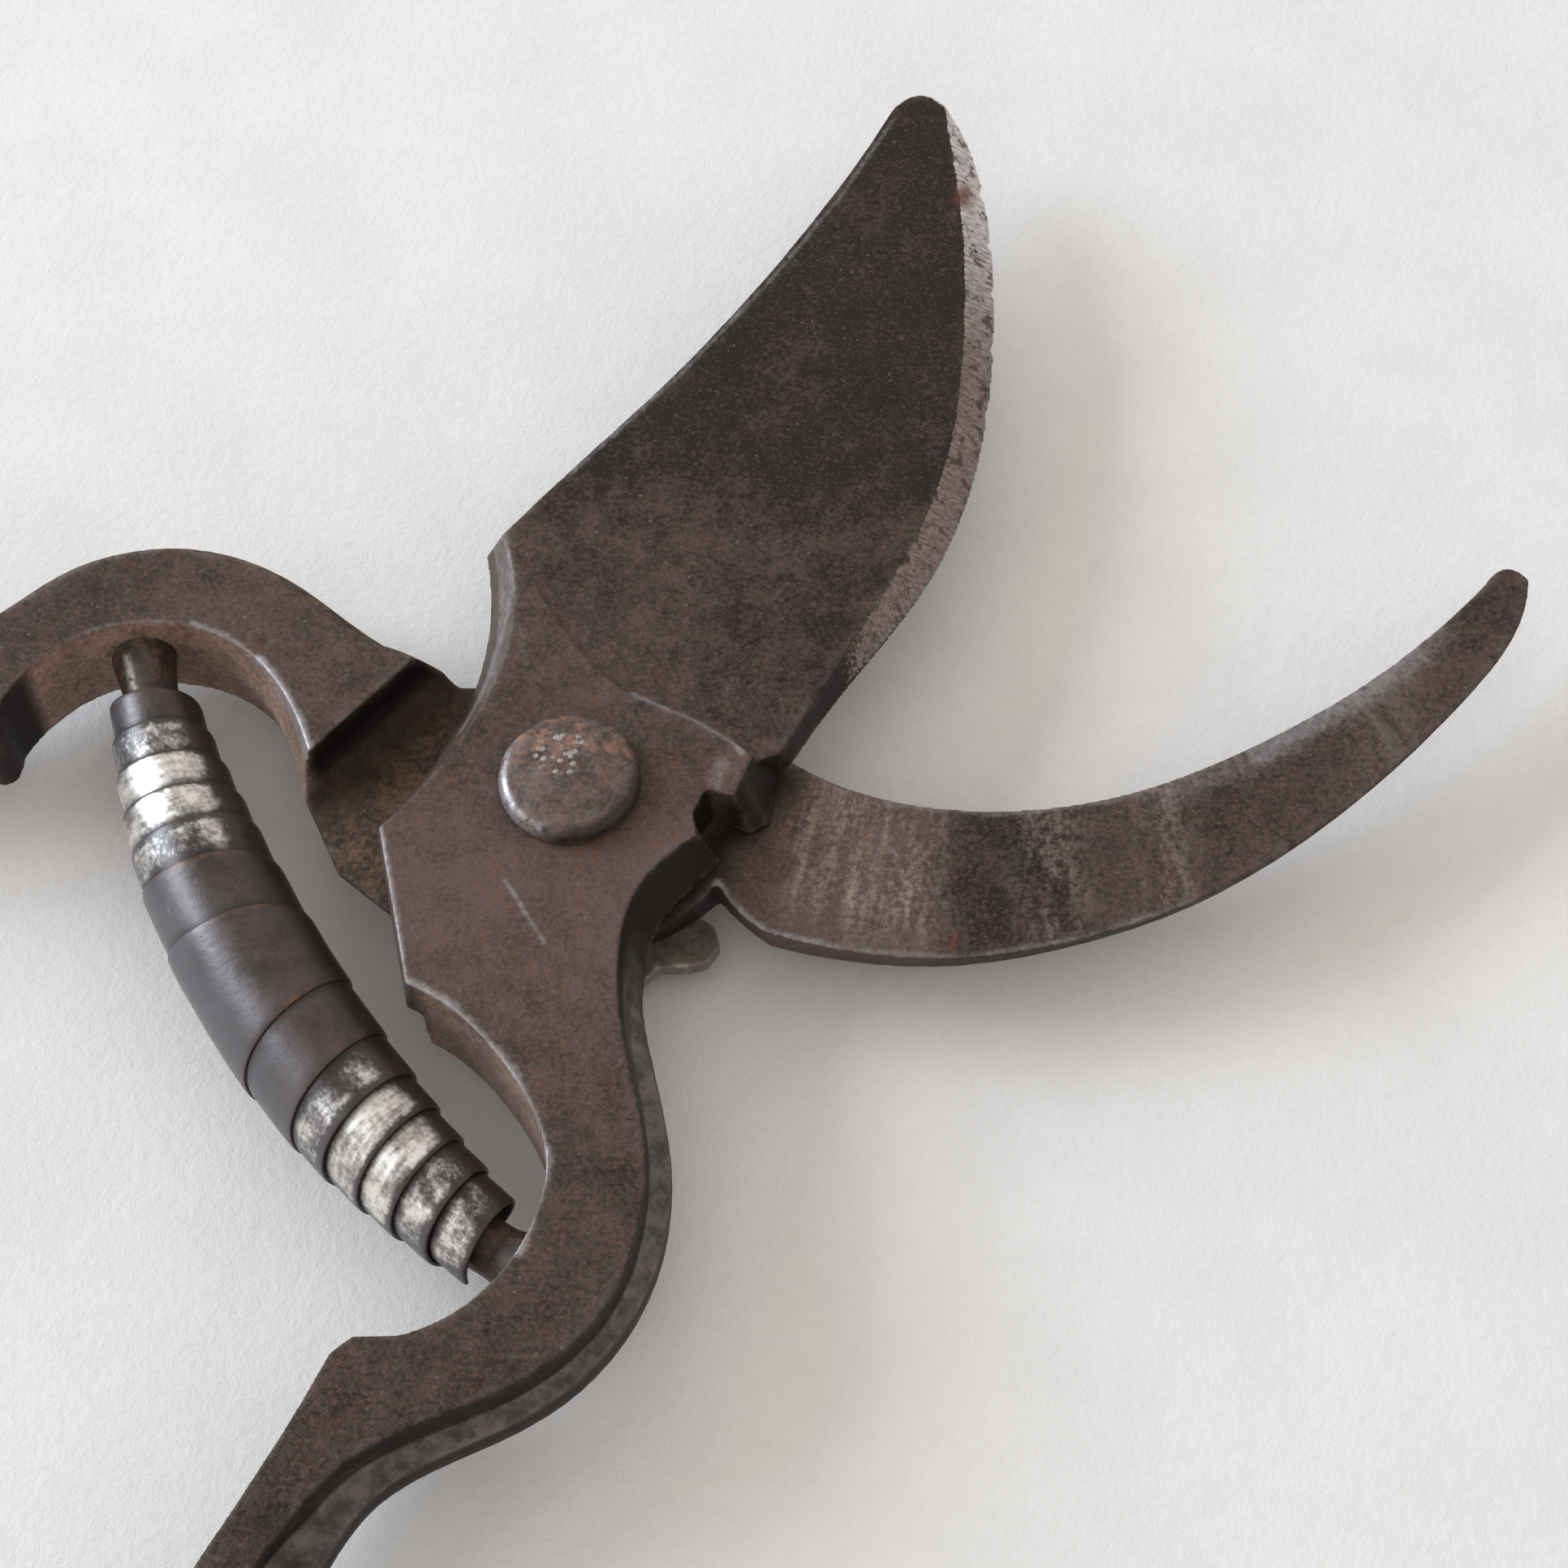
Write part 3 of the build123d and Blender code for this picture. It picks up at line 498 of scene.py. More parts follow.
# ---- materials ----
def forging_scale(s, medium, fine):
    """Mottled brown-black scale with rust and grit in it."""
    mottle = s.sum((s.noise(9, 4, 0.6), 0.25), (medium, 0.35), (fine, 0.40))
    blotches = s.noise(4.6, 4, 0.6, s.turned(30, 10, 70))
    share = s.sum((s.painted("tone"), 1.0), (s.ramp(mottle, 0.33, 0.67, -0.42, 0.42), 1.0),
                  (s.ramp(blotches, 0.36, 0.64, -0.05, 0.05), 1.0))
    colour = s.mix(share, SOOT, SCALE_BROWN)
    grains = s.ramp(s.noise(0.5, 4, 0.75, s.turned(20, 0, 40)), 0.52, 0.66)
    clusters = s.ramp(s.noise(5, 4, 0.65, s.turned(0, 50, 10)), 0.42, 0.62)
    colour = s.mix(s.times(s.times(grains, clusters), s.painted("rusty")), colour, RUST)
    grit = s.noise(0.32, 3, 0.7, s.turned(10, 30, 0))
    colour = s.mix(s.ramp(grit, 0.52, 0.74, 0.0, 0.36), colour, DARK_GRIT)
    return s.mix(s.ramp(grit, 0.44, 0.30, 0.0, 0.34), colour, PALE_GRIT)


def rusted_and_shaded_places(s, colour, lap, medium, fine):
    """The coarse lap face, painted shade along the foot of the step, the brown bow walls, pale specks."""
    crust = s.sum((s.noise(0.7, 5, 0.75), 0.6), (s.noise(3.5, 4, 0.6), 0.4))
    colour = s.mix(lap, colour, s.mix(s.ramp(crust, 0.38, 0.64), LAP_DARK, LAP_LIGHT))
    # painted shade where the step wall casts its shadow on the lap face
    colour = s.mix(s.times(s.painted("step_foot"), 0.8), colour, STEP_SHADE)
    mottle = s.ramp(s.sum((medium, 0.5), (fine, 0.5)), 0.36, 0.64)
    colour = s.mix(s.painted("bow_wall"), colour, s.mix(mottle, WALL_DARK, WALL_LIGHT))
    specks = s.times(s.ramp(s.cells(1.3), 0.15, 0.05), s.ramp(s.noise(4, 2, 0.5), 0.50, 0.62))
    return s.mix(s.times(specks, 0.4), colour, SPECK)


def worn_and_shaded_places(s, colour, medium):
    """Streaks across the hook, dirt in the hollows, painted shade on the sides away from the window and
    round the notch, rubbed edges, flanges.
    """
    across = s.joined(s.times(s.painted("along"), MM), s.times(s.painted("across"), 0.16 * MM))
    ragged = s.sum((s.noise(2.6, 5, 0.7, across), 0.6), (s.noise(0.7, 4, 0.7), 0.4))
    streaks = s.times(s.ramp(ragged, 0.45, 0.62), s.painted("streak"))
    colour = s.mix(s.times(streaks, 0.95), colour, STREAK)
    colour = s.mix(s.times(s.painted("hollow"), 0.48), colour, GRIME)
    # painted shade on the sides away from the window and in the corner round the notch
    colour = s.mix(s.times(s.painted("shaded"), 0.93), colour, SHADE)
    edges = s.times(s.painted("wear"), s.ramp(s.noise(2.4, 5, 0.7), 0.40, 0.62))
    colour = s.mix(s.times(edges, 0.28), colour, RUBBED_EDGE)
    grey = s.mix(s.ramp(medium, 0.35, 0.65), FLANGE_DARK, FLANGE_LIGHT)
    return s.mix(s.times(s.painted("flange"), 0.85), colour, grey)


def bevel_colour(s, hairs):
    """The ground bevel: stone grey at the heel, polished higher up, with dark spots."""
    grain = s.ramp(hairs, 0.35, 0.65)
    stone = s.mix(grain, STONE_DARK, STONE_LIGHT)
    polished = s.mix(grain, POLISH_DARK, POLISH_LIGHT)
    colour = s.mix(s.ramp(s.axis(1), 48, 74), stone, polished)
    spots = s.ramp(s.noise(1.5, 5, 0.75), 0.535, 0.60)
    return s.mix(s.times(spots, 0.85), colour, BEVEL_SPOT)


def forged_steel():
    """Oxidised forged steel. The mesh says how brown each place is (tone), where the
    ground bevel, the coarse lap face, the streaks and the bare worn places are."""
    s = Shader("forged_steel")
    medium = s.noise(2.2, 5, 0.7)
    fine = s.noise(0.55, 4, 0.7)
    lap = s.painted("lap")
    colour = rusted_and_shaded_places(s, forging_scale(s, medium, fine), lap, medium, fine)
    colour = worn_and_shaded_places(s, colour, medium)

    ragged = s.sum((s.painted("bare"), 1.0), (s.noise(0.9, 5, 0.75), 0.8), (1.0, -0.40))
    bare = s.times(s.ramp(ragged, 0.10, 0.95), s.ramp(s.painted("bare"), 0.0, 0.16))
    colour = s.mix(bare, colour, BARE_STEEL)
    hairs = s.noise(0.34, 4, 0.7, s.turned(0, 0, 24, stretch=(0.16, 1, 0.5)))
    ground = s.ramp(s.sum((s.painted("bevel"), 1.0), (hairs, 1.1), (1.0, -0.55)), 0.36, 0.66)
    colour = s.mix(ground, colour, bevel_colour(s, hairs))
    s.set(Base_Color=s.mix(s.painted("red"), colour, RED_RUST))

    s.set(Metallic=s.sum((bare, 0.55), (ground, 0.30)))
    s.bsdf.inputs["Specular IOR Level"].default_value = 0.24
    dull = s.ramp(medium, 0.3, 0.7, 0.50, 0.62)
    s.set(Roughness=s.sum((dull, 1.0), (lap, 0.15), (bare, -0.16), (ground, -0.08)))
    skin = s.bump(s.noise(1.5, 5, 0.7), 0.05)
    skin = s.bump(fine, 0.026, skin)
    skin = s.bump(s.times(s.noise(0.9, 5, 0.75), lap), 0.26, skin)
    skin = s.bump(s.times(hairs, ground), 0.03, skin)
    s.set(Normal=s.bump(s.ramp(s.cells(1.7), 0.0, 0.26), 0.014, skin))
    return s.material


def bolt_steel():
    """Worn bolt head: rubbed grey-brown crown with pits and rust in them, a painted highlight on its rim
    towards the window and painted shade on its far side.
    """
    s = Shader("worn_bolt_steel")
    medium = s.noise(2.0, 5, 0.7)
    fine = s.noise(0.42, 4, 0.7)
    colour = s.mix(s.ramp(s.sum((medium, 0.6), (fine, 0.4)), 0.38, 0.62), BOLT_DARK, BOLT_LIGHT)
    crown = s.ramp(s.painted("crown"), 0.15, 0.75)
    pits = s.times(s.ramp(s.cells(0.85), 0.46, 0.24), s.ramp(s.noise(1.4, 3, 0.6), 0.30, 0.44))
    colour = s.mix(s.times(s.times(pits, crown), 0.75), colour, BOLT_PIT)
    patches = s.ramp(s.noise(1.3, 4, 0.7, s.turned(0, 0, 60)), 0.46, 0.62)
    rust = s.times(patches, s.painted("rusty"))
    colour = s.mix(rust, colour, BOLT_RUST)
    colour = s.mix(s.times(s.painted("hollow"), 0.85), colour, BOLT_GRIME)
    # painted highlight on the worn rim where it faces the window; the rim is also smoother and more metallic
    rim = s.times(s.painted("rim"), s.ramp(s.noise(1.1, 4, 0.7), 0.34, 0.56))
    colour = s.mix(s.times(rim, 0.85), colour, BOLT_RIM_HIGHLIGHT)
    # painted shade on the head's side away from the window
    s.set(Base_Color=s.mix(s.times(s.painted("shaded"), 0.8), colour, BOLT_SHADE))
    s.set(Metallic=s.sum((rim, 0.4), (1.0, 0.35), (rust, -0.3)))
    s.set(Roughness=s.sum((s.ramp(medium, 0.3, 0.7, 0.36, 0.46), 1.0), (rust, 0.2), (rim, -0.08)))
    skin = s.bump(s.noise(1.2, 5, 0.7), 0.05)
    skin = s.bump(s.times(pits, crown), 0.10, skin)
    s.set(Normal=s.bump(fine, 0.025, skin))
    return s.material


def ribbon_scale(s, medium, fine):
    """Brown scale of the ribbon, rusty in places and along the middle band's lips, with a painted bluish
    sheen on the side facing the window.
    """
    mottle = s.ramp(s.sum((medium, 0.65), (fine, 0.35)), 0.34, 0.66)
    rust = s.ramp(s.noise(2.0, 5, 0.7), 0.60, 0.72)
    colour = s.mix(s.times(rust, 0.4), s.mix(mottle, RIBBON_DARK, RIBBON_LIGHT), RIBBON_RUST)
    lip = s.times(s.painted("lip_rust"), s.ramp(s.noise(1.8, 4, 0.7), 0.44, 0.66))
    colour = s.mix(s.times(lip, 0.85), colour, LIP_RUST)
    # painted bluish sheen on the side facing the window
    return s.mix(s.times(s.painted("blue_sheen"), 0.55), colour, RIBBON_BLUE_SHEEN)


def spring_steel():
    """Ribbon of the spring: brown scale with a painted bluish sheen, rubbed silver where it has been
    touched, painted as a highlight towards the window, and painted shade on the far sides and under each
    turn.
    """
    s = Shader("spring_steel")
    along = s.painted("along")
    across = s.painted("across")
    place = s.joined(s.times(along, MM), s.times(across, MM), s.times(s.painted("arm"), MM))
    medium = s.noise(3.2, 5, 0.6, place)
    fine = s.noise(0.5, 4, 0.7, place)
    drawn = s.noise(0.5, 4, 0.6, s.joined(s.times(along, 0.12 * MM), s.times(across, MM)))
    mottle = s.ramp(s.sum((drawn, 0.25), (fine, 0.25), (medium, 0.50)), 0.40, 0.58)
    silver = s.mix(mottle, SILVER_DARK, SILVER_LIGHT)
    # rubbed silver, painted as a highlight only where the ribbon faces the window
    cloudy = s.sum((s.painted("shine"), 1.0), (medium, 0.85), (fine, 0.45), (1.0, -0.65))
    bright = s.ramp(cloudy, 0.34, 0.72)
    colour = s.mix(bright, ribbon_scale(s, medium, fine), silver)
    stains = s.ramp(s.noise(0.9, 5, 0.75, s.turned(0, 30, 0)), 0.56, 0.68)
    colour = s.mix(s.times(stains, 0.45), colour, RIBBON_STAIN)
    # painted shade on the sides turned away from the window
    colour = s.mix(s.times(s.painted("turned"), 0.62), colour, RIBBON_AWAY_SHADE)
    # painted shade where the ribbon goes under the turn before it
    s.set(Base_Color=s.mix(s.times(s.painted("tucked"), 0.92), colour, RIBBON_TUCKED_SHADE))
    s.set(Metallic=s.ramp(bright, 0, 1, 0.45, 0.90))
    s.set(Roughness=s.ramp(s.sum((drawn, 0.5), (medium, 0.5)), 0.35, 0.65, 0.30, 0.44))
    skin = s.bump(drawn, 0.012)
    s.set(Normal=s.bump(s.noise(1.6, 4, 0.6), 0.05, skin))
    return s.material


def dark_steel(name, scale, rust_share):
    """Small pieces: dull scale with rust in patches and rubbed edges."""
    s = Shader(name)
    medium = s.noise(1.6, 5, 0.68)
    fine = s.noise(0.35, 4, 0.7)
    colour = s.mix(s.ramp(s.sum((medium, 0.6), (fine, 0.4)), 0.36, 0.64), *scale)
    patches = s.ramp(s.noise(1.2, 5, 0.7, s.turned(30, 0, 0)), 0.48, 0.64)
    colour = s.mix(s.times(patches, rust_share), colour, SMALL_RUST)
    colour = s.mix(s.times(s.painted("hollow"), 0.7), colour, GRIME)
    worn = s.sum((s.painted("wear"), 0.5), (s.painted("bare"), 1.0))
    bare = s.times(worn, s.ramp(s.noise(0.9, 5, 0.7), 0.36, 0.60))
    s.set(Base_Color=s.mix(s.times(bare, 0.85), colour, SMALL_BARE))
    s.set(Metallic=s.times(bare, 0.6))
    s.bsdf.inputs["Specular IOR Level"].default_value = 0.4
    s.set(Roughness=s.ramp(medium, 0.3, 0.7, 0.44, 0.58))
    skin = s.bump(s.noise(1.0, 5, 0.7), 0.03)
    s.set(Normal=s.bump(fine, 0.015, skin))
    return s.material


# ---- the two forgings ----
def punch(skin, x, y, radius, depth):
    """Presses a round dent into an upward face."""
    reach = np.hypot(skin.x - x, skin.y - y) / radius
    hit = (reach < 1) & (skin.nz > 0.6)
    skin.points[hit, 2] -= depth * (1 - reach[hit] ** 2)


def nick(skin, x, y, radius, depth):
    """Pushes the cutting edge in towards the blade's middle."""
    reach = np.hypot(skin.x - x, skin.y - y) / radius
    hit = (reach < 1) & (skin.z > -0.3)
    skin.points[hit, 0] -= depth * (1 - reach[hit] ** 2) ** 2


def facing_away(skin):
    """How far a side face looks away from the light, to the lower right."""
    return smooth(skin.nx * LEE[0] + skin.ny * LEE[1], 0.25, 0.75) * smooth(skin.nz, 0.75, 0.45)


def facing_down(skin):
    """1 on faces that look down, 0 on the sides and on top."""
    return smooth(skin.nz, -0.4, -0.8)


def bare_places(skin, places, lowest):
    """Strength of the listed worn lines on the upward side, above a height."""
    bare = np.zeros(skin.count)
    for line, width, strength in places:
        bare = np.maximum(bare, strength * skin.near(line, width))
    return bare * smooth(skin.z, lowest - 0.4, lowest + 0.6) * smooth(skin.nz, 0.0, 0.4)


def red_spot(skin, line, width, strength):
    return strength * skin.near(line, width) * (skin.nz > 0)


def handle_flange(skin):
    """The low flange and the groove beside it, on the upward side of a handle."""
    return smooth(skin.nz, 0.0, 0.5) * smooth(skin.z, 4.6, 3.4) * smooth(skin.z, 0.2, 1.0)


def with_underside(tone, under):
    """The tone, made even on the faces that look down."""
    return tone * (1 - under) + UNDER_TONE * under


def blade_tone(skin, on_blade):
    """How brown the blade forging is: light on the plate, dark at the grip and the tip."""
    grip = 0.75 * smooth(skin.y, *GRIP_FADE) + 0.25 * smooth(skin.y, *GRIP_END_FADE)
    tone = BOSS_TONE + PLATE_RISE * smooth(skin.y, *PLATE_FADE) - GRIP_DROP * grip
    darker = BLADE_DROP + TIP_DROP * smooth(skin.y, *TIP_FADE) + EDGE_DROP * smooth(skin.x, *EDGE_FADE)
    return with_underside(tone - on_blade * darker, facing_down(skin))


def mark_blade_forging(skin):
    past_boss = skin.y - np.interp(skin.x, BOSS_EDGE_X, BOSS_EDGE_Y)
    on_blade = smooth(past_boss, -0.3, np.interp(skin.x, BOSS_FADE_X, BOSS_FADE))
    slope = smooth(skin.nz, 0.965, 0.91) * smooth(skin.nz, 0.1, 0.3) * smooth(skin.nx, 0.1, 0.25)
    skin.store("tone", blade_tone(skin, on_blade))
    skin.store("flange", handle_flange(skin) * smooth(skin.y, *BLADE_FLANGE_FADE))
    skin.store("bevel", skin.spread(slope * on_blade * smooth(skin.x, *BEVEL_FADE), 1))
    skin.store("lap", 0.6 * facing_down(skin) * smooth(skin.z, -1.0, -0.3))
    skin.store("streak", np.zeros(skin.count))
    store_layer(skin.mesh, "along", skin.x)
    store_layer(skin.mesh, "across", skin.y)
    skin.store("red", red_spot(skin, *BEVEL_RED))
    skin.store("bare", bare_places(skin, BLADE_BARE, 2.0))
    skin.store("rusty", 0.75 - 0.55 * on_blade)
    skin.store("step_foot", np.zeros(skin.count))


def hook_tone(skin, hook):
    """How brown the hook forging is: light on the plate, banded along the hook."""
    dark_x, dark = DARK_BAND
    pale_x, pale = PALE_BAND
    tone = HOOK_PLATE_TONE - HOOK_DROP * hook - dark * smooth(np.abs(skin.x - dark_x), 9, 4)
    return with_underside(tone + pale * smooth(np.abs(skin.x - pale_x), 12, 5), facing_down(skin))


def hook_streaks(skin, outward):
    """Pale streaks across the hook's upward face, inside its outer edge."""
    streak = np.zeros(skin.count)
    for at, width, strength in HOOK_STREAKS:
        streak = np.maximum(streak, strength * smooth(np.abs(skin.x - at), width * 1.6, 0))
    return streak * smooth(skin.nz, 0.5, 0.9) * smooth(outward, *HOOK_RIM_FADE)


def step_foot(skin):
    """Painted shade on the strip of the lap face along the foot of the step."""
    step = math.radians(STEP_ANGLE)
    beyond = skin.x * math.cos(step) + skin.y * math.sin(step)
    foot = smooth(beyond, STEP_DIST - 8, STEP_DIST - 2) * smooth(beyond, STEP_DIST + 3, STEP_DIST + 0.8)
    return foot * smooth(skin.z, 5.4, 3.5) * smooth(skin.z, -0.8, -0.3)


def mark_hook_forging(skin):
    angle = np.arctan2(skin.x - HOOK_CENTRE[0], HOOK_CENTRE[1] - skin.y)
    outward = np.hypot(skin.x - HOOK_CENTRE[0], skin.y - HOOK_CENTRE[1])
    hook = smooth(skin.x, *HOOK_FADE)
    lap_face = smooth(skin.x, *LAP_FADE) * smooth(skin.z, 4.8, 3.6) * smooth(skin.nz, 0.1, 0.5)
    skin.store("tone", hook_tone(skin, hook))
    skin.store("flange", handle_flange(skin) * smooth(skin.x, *HOOK_FLANGE_FADE))
    skin.store("bevel", np.zeros(skin.count))
    skin.store("lap", lap_face * smooth(skin.z, -1.5, -0.5))
    skin.store("streak", hook_streaks(skin, outward) * hook)
    store_layer(skin.mesh, "along", angle * HOOK_INNER_R)
    store_layer(skin.mesh, "across", outward)
    skin.store("red", red_spot(skin, *HOOK_RED))
    # the hook's flat face is lower than the handle's
    skin.store("bare", bare_places(skin, HOOK_BARE, np.where(skin.x > 10, -0.6, 3.5)))
    skin.store("rusty", np.where(skin.x > 5, 0.45, 0.6))
    skin.store("step_foot", step_foot(skin))


def forging(node, body, steel, dent, dents, mark, bow_wall, in_nook):
    """One forging made again, dented, marked for the shader and given its steel."""
    piece = worn_piece(node, body, FORGING_VOXEL, 2, FORGING_DENTS)
    skin = Skin(piece.data)
    for place in dents:
        dent(skin, *place)
    skin.put_back()
    skin = Skin(piece.data)
    skin.mark_wear(FORGING_VOXEL)
    walls = skin.spread(smooth(np.abs(skin.nz), 0.85, 0.45) * skin.near(bow_wall, BOW_WALL_WIDTH), 1)
    skin.store("bow_wall", walls)
    # painted shade: side faces turned away from the window, and the corner round the notch
    nook = in_nook(skin) * skin.near(NOOK_LINE, NOOK_WIDTH)
    skin.store("shaded", np.maximum(facing_away(skin) * (1 - 0.9 * walls), nook))
    mark(skin)
    dress(piece, steel)


def forgings(steel):
    forging("blade_and_handle", "blade_half", steel, nick, EDGE_NICKS, mark_blade_forging,
            BLADE_BOW_WALL, lambda skin: smooth(skin.nz, 0.8, 0.4))
    forging("hook_and_handle", "hook_half", steel, punch, PUNCH_MARKS, mark_hook_forging,
            HOOK_BOW_WALL, lambda skin: smooth(skin.z, -1.0, -0.5))


# ---- bolt, catch and small hardware ----
def bolt(steel):
    piece = worn_piece("pivot_bolt", "hook_half", BOLT_VOXEL, 3, BOLT_DENTS)
    skin = Skin(piece.data)
    skin.mark_wear(BOLT_VOXEL)
    head = smooth(skin.z, FACE_Z, FACE_Z + 1)
    off_crown = np.hypot(skin.x - CROWN_AT[0], skin.y - CROWN_AT[1])
    skin.store("crown", smooth(off_crown, *CROWN_FADE) * head)
    skin.store("rusty", 0.25 + 0.65 * smooth(skin.y, -1, 3))
    # painted shade on the head's side away from the window
    skin.store("shaded", smooth(skin.nx * 0.75 - skin.ny * 0.65, 0.05, 0.65) * head)
    # painted highlight: the rim only where it faces the window
    lit = smooth(-skin.nx * 0.85 - skin.ny * 0.35, 0.2, 0.7)
    rim = smooth(np.hypot(skin.x, skin.y), *RIM_R_FADE) * smooth(skin.z, *RIM_Z_FADE)
    skin.store("rim", lit * head * rim)
    dress(piece, steel)


def small_piece(node, body, material, bare_line=None, voxel=SMALL_VOXEL, relax=2):
    piece = worn_piece(node, body, voxel, relax, SMALL_DENTS)
    skin = Skin(piece.data)
    skin.mark_wear(voxel)
    bare = np.zeros(skin.count)
    if bare_line:
        bare = skin.near(*bare_line) * smooth(skin.nz, -0.2, 0.3)
    skin.store("bare", bare)
    dress(piece, material)


def hardware():
    lever = dark_steel("catch_scale", LEVER_SCALE, 0.30)
    brown = dark_steel("peg_scale", PEG_SCALE, 0.5)
    grey = dark_steel("fastener_scale", FASTENER_SCALE, 0.6)
    small_piece("catch_lever", "catch", lever, LEVER_BARE)
    small_piece("catch_screw", "hook_half", grey)
    small_piece("catch_washer", "hook_half", grey, voxel=WASHER_VOXEL, relax=1)
    for node in ("pivot_nut", "nut_keeper_plate", "nut_keeper_screw"):
        small_piece(node, "hook_half", grey)
    small_piece("spring_peg_hook_side", "hook_half", brown, PEG_BARE)
    small_piece("spring_peg_blade_side", "blade_half", brown)


# ---- volute spring ----
def spring_line():
    """The bowed centre line: its bend's centre and radius, the direction from the middle
    of the spring to that centre, and half its sweep."""
    start, end = np.array(HOOK_PEG), np.array(BLADE_PEG)
    chord = end - start
    length = np.hypot(*chord)
    radius = length ** 2 / (8 * SPRING_BOW) + SPRING_BOW / 2
    across = np.array((-chord[1], chord[0])) / length
    centre = (start + end) / 2 + across * (radius - SPRING_BOW)
    return centre, radius, across, math.asin(length / 2 / radius)


def lip_place(turn):
    """Distance from the middle of the spring to an arm's free edge at a turn."""
    _, bend_r, _, half_sweep = spring_line()
    steep_end = SPRING_START + SPRING_STEEP * SPRING_STEEP_TURNS
    share = np.clip((turn - SPRING_STEEP_TURNS) / (SPRING_TURNS - SPRING_STEEP_TURNS), 0, 1)
    steep = SPRING_START + SPRING_STEEP * np.minimum(turn, SPRING_STEEP_TURNS)
    return steep + (bend_r * half_sweep - steep_end) * share


def tucked_place(turn):
    """Distance from the middle to an arm's hidden edge, which lies under the turn before
    and is cut off at the middle."""
    return np.maximum(lip_place(turn - 1) - SPRING_OVERLAP, 0)


def ribbon_section():
    """Section of an arm: share of its width from the tucked edge to the lip, and how
    far in from the outer side, which is slightly crowned."""
    shares = [0.0, 0.15, 0.3, 0.45, 0.6, 0.75, 0.88, 0.95, 0.98, 1.0]
    drop = [0.0, 0.0, 0.0, -0.01, -0.02, -0.02, -0.01, 0.0, 0.04, RIBBON_LIP]
    outer = list(zip(shares, drop))
    return outer + [(share, RIBBON_T) for share in (1.0, 0.75, 0.5, 0.25, 0.0)]


def arm_points(side, section):
    """Points of one arm, turn by turn, with the turn and the share of each."""
    centre, bend_r, across, _ = spring_line()
    rows = int((SPRING_TURNS - SPRING_FIRST_TURN) * STEPS_PER_TURN)
    turn = np.linspace(SPRING_FIRST_TURN, SPRING_TURNS, rows + 1)[:, None]
    share, drop = np.array(section).T[:, None, :]
    past_band = smooth(turn, 1.5, 2.5)
    lip = lip_place(turn) + LIP_WAVER * np.sin(1.7 * turn + side) * past_band * smooth(turn, 7, 6)
    tucked = tucked_place(turn)
    place = side * (tucked + (lip - tucked) * share)
    radius = SPRING_R_MAX - (SPRING_R_MAX - SPRING_R_MIN) * (turn / SPRING_TURNS) ** SPRING_TAPER
    radius = radius + RADIUS_WAVER * np.sin(2.3 * turn + side) * past_band - drop
    spin = math.pi + place / bend_r
    wind = 2 * math.pi * turn
    reach = bend_r + radius * np.cos(wind)
    x = centre[0] + (across[0] * np.cos(spin) - across[1] * np.sin(spin)) * reach
    y = centre[1] + (across[0] * np.sin(spin) + across[1] * np.cos(spin)) * reach
    points = np.stack([x, y, -radius * np.sin(wind)], 2).reshape(-1, 3)
    return points, np.repeat(turn, len(section), 1).ravel(), np.tile(share, (rows + 1, 1)).ravel()


def arm_faces(base, turn, size):
    """Faces of one arm whose points start at base. Along the middle band its tucked edge
    is left open, because the other arm joins it there."""
    band_end = 1 + (SPRING_OVERLAP - SPRING_START) / SPRING_STEEP
    rows = len(turn) // size
    faces = []
    for k in range(rows - 1):
        for i in range(size - 1 if turn[k * size] < band_end else size):
            a, b = base + k * size, base + (k + 1) * size
            faces.append((a + i, a + (i + 1) % size, b + (i + 1) % size, b + i))
    faces.append(tuple(base + i for i in range(size)))
    faces.append(tuple(base + (rows - 1) * size + i for i in range(size)))
    return faces


def ribbon_mesh():
    """Both arms as one closed shell; where they are one band they share its middle."""
    section = ribbon_section()
    points, turns, shares, faces = [], [], [], []
    for side in (1, -1):
        arm, turn, share = arm_points(side, section)
        faces += arm_faces(sum(len(p) for p in points), turn, len(section))
        points.append(arm)
        turns.append(turn)
        shares.append(share)
    mesh = bpy.data.meshes.new("volute_spring_ribbon")
    mesh.from_pydata((np.concatenate(points) * MM).tolist(), [], faces)
    store_layer(mesh, "turn", np.concatenate(turns))
    store_layer(mesh, "across", np.concatenate(shares))
    store_layer(mesh, "arm", np.repeat((1.0, -1.0), len(points[0])))
    edit = bmesh.new()
    edit.from_mesh(mesh)
    bmesh.ops.remove_doubles(edit, verts=edit.verts, dist=RIBBON_WELD * MM)
    bmesh.ops.recalc_face_normals(edit, faces=edit.faces)
    edit.to_mesh(mesh)
    edit.free()
    return mesh


def layer_values(mesh, name):
    values = np.empty(len(mesh.vertices), np.float32)
    mesh.attributes[name].data.foreach_get("value", values)
    return values.astype(float)


def under_the_next(turn, share):
    """1 where the ribbon lies under the turn before it, softly."""
    shown_width = lip_place(turn) - lip_place(np.maximum(turn - 1, 0))
    shown = shown_width / (lip_place(turn) - tucked_place(turn))
    return smooth(1 - share, shown - 0.07, shown) * (turn > 1)


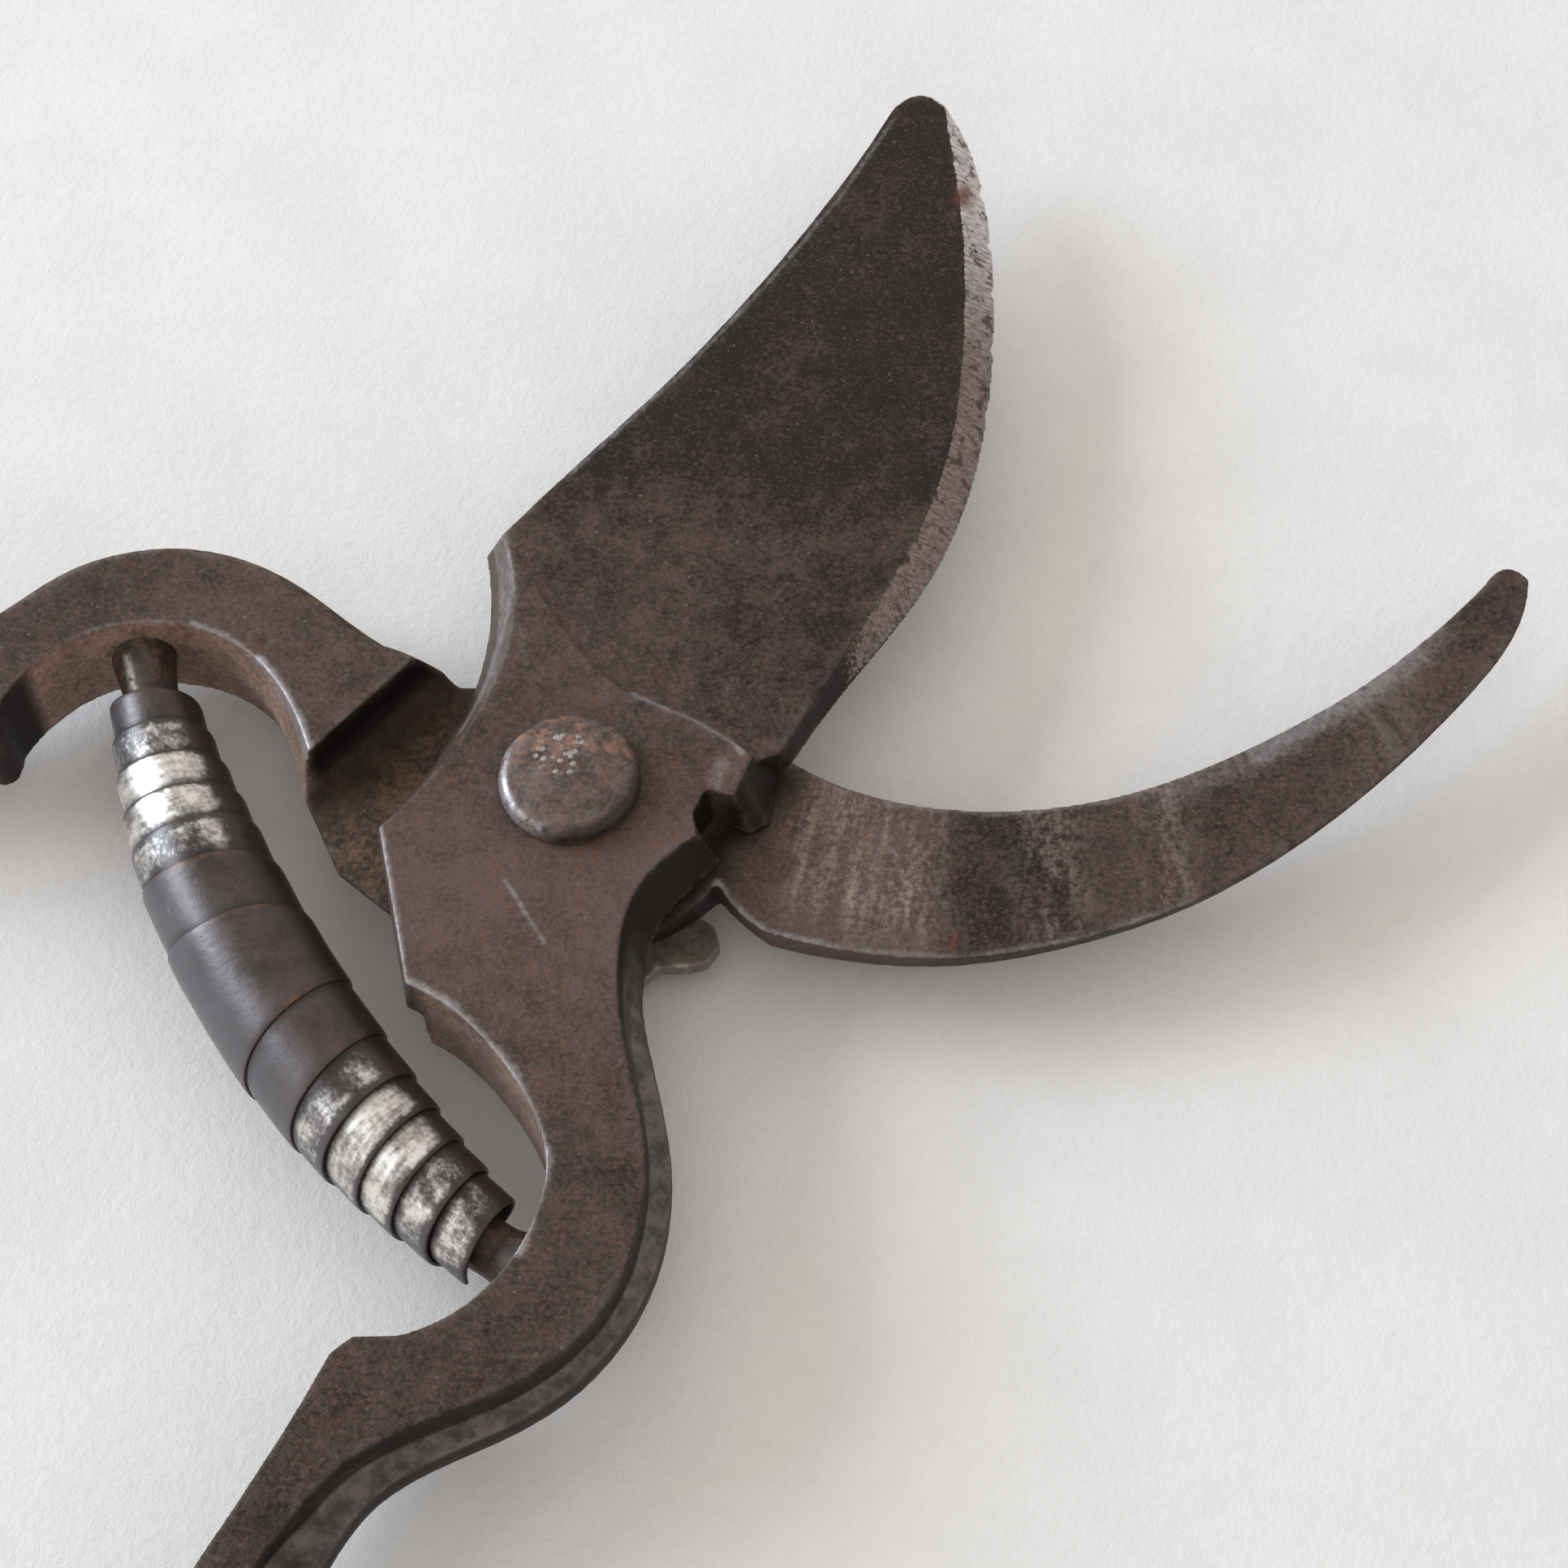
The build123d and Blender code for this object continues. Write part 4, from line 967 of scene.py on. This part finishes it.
def mark_ribbon(mesh):
    skin = Skin(mesh)
    turn, share, arm = (layer_values(mesh, name) for name in ("turn", "across", "arm"))
    rows = np.arange(len(HOOK_ARM_SHINE))
    shine = np.where(arm < 0, np.interp(turn - SHINE_LAG, rows, HOOK_ARM_SHINE),
                     np.interp(turn - SHINE_LAG, rows, BLADE_ARM_SHINE))
    # shine: each turn's rubbed polish, painted as a highlight only where the ribbon faces the window
    lit_side = smooth(-0.40 * skin.nx - 0.15 * skin.ny + 0.90 * skin.nz, 0.15, 0.75)
    left = smooth(-0.80 * skin.nx - 0.45 * skin.ny + 0.30 * skin.nz, 0.35, 0.95)
    # painted bluish sheen on the side facing the window
    skin.store("blue_sheen", left)
    # painted shade on the sides turned away from the window
    skin.store("turned", smooth(0.85 * skin.nx + 0.45 * skin.ny, 0.20, 0.85))
    skin.store("shine", shine * lit_side * smooth(share, 0.25, 0.6) * smooth(share, 1.02, 0.90))
    # painted shade where the ribbon goes under the turn before it
    skin.store("tucked", under_the_next(turn, share))
    skin.store("lip_rust", smooth(share, 0.89, 0.96) * smooth(turn, 3.0, 2.0) * smooth(left, 0.9, 0.3))
    # the shader's noise is laid out along and across the ribbon, in millimetres
    store_layer(mesh, "along", turn * 2 * math.pi * SPRING_R_MAX)
    mesh.attributes["across"].data.foreach_set("value", (share * SPRING_STEEP).astype(np.float32))


def volute_spring(steel):
    mesh = ribbon_mesh()
    piece = link("volute_spring_ribbon", mesh)
    mark_ribbon(mesh)
    mesh.shade_smooth()
    mesh.set_sharp_from_angle(angle=math.radians(40))
    dress(piece, steel)
    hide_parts("volute_spring")
    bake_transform(piece)


# ---- stage ----
def pale_floor():
    s = Shader("pale_paint")
    patches = s.noise(14, 4, 0.6)
    grain = s.noise(1.3, 5, 0.7)
    colour = s.mix(s.ramp(patches, 0.3, 0.7), PAINT_DARK, PAINT_LIGHT)
    s.set(Base_Color=s.mix(s.ramp(grain, 0.3, 0.7, 0, 0.25), colour, PAINT_GRAIN))
    s.set(Roughness=0.6)
    s.set(Normal=s.bump(s.noise(0.6, 4, 0.7), 0.05, s.bump(grain, 0.12)))
    mesh = bpy.data.meshes.new("table_top")
    half = FLOOR_SIZE * MM / 2
    top = UNDERSIDE - FLOOR_GAP * MM
    corners = [(-half, -half, top), (half, -half, top), (half, half, top), (-half, half, top)]
    mesh.from_pydata(corners, [], [(0, 1, 2, 3)])
    floor = link("table_top", mesh)
    floor.data.materials.append(s.material)


def area_light(name, place, aim, width, height, watts, colour):
    data = bpy.data.lights.new(name, "AREA")
    data.shape = "RECTANGLE"
    data.size = width
    data.size_y = height
    data.energy = watts
    data.color = colour
    lamp = link(name, data)
    lamp.location = place
    lamp.rotation_euler = (Vector(aim) - Vector(place)).to_track_quat("-Z", "Y").to_euler()


def studio():
    """A warm even sky and one cool window on the left."""
    world = bpy.data.worlds.new("studio")
    world.use_nodes = True
    sky = world.node_tree.nodes["Background"]
    sky.inputs["Color"].default_value = (*SKY, 1)
    sky.inputs["Strength"].default_value = SKY_STRENGTH
    bpy.context.scene.world = world
    area_light("window", WINDOW_AT, (0, 0, 0), WINDOW_WIDTH, WINDOW_HEIGHT, WINDOW_WATTS, WINDOW)
    bpy.context.scene.view_settings.view_transform = "Standard"


def camera():
    data = bpy.data.cameras.new("camera")
    data.lens = LENS
    data.sensor_width = SENSOR
    eye = link("camera", data)
    eye.location = CAMERA_AT
    eye.rotation_euler = (math.radians(CAMERA_TILT), 0, 0)
    bpy.context.scene.camera = eye


def main():
    camera()
    forgings(forged_steel())
    bolt(bolt_steel())
    hardware()
    volute_spring(spring_steel())
    pale_floor()
    studio()


main()
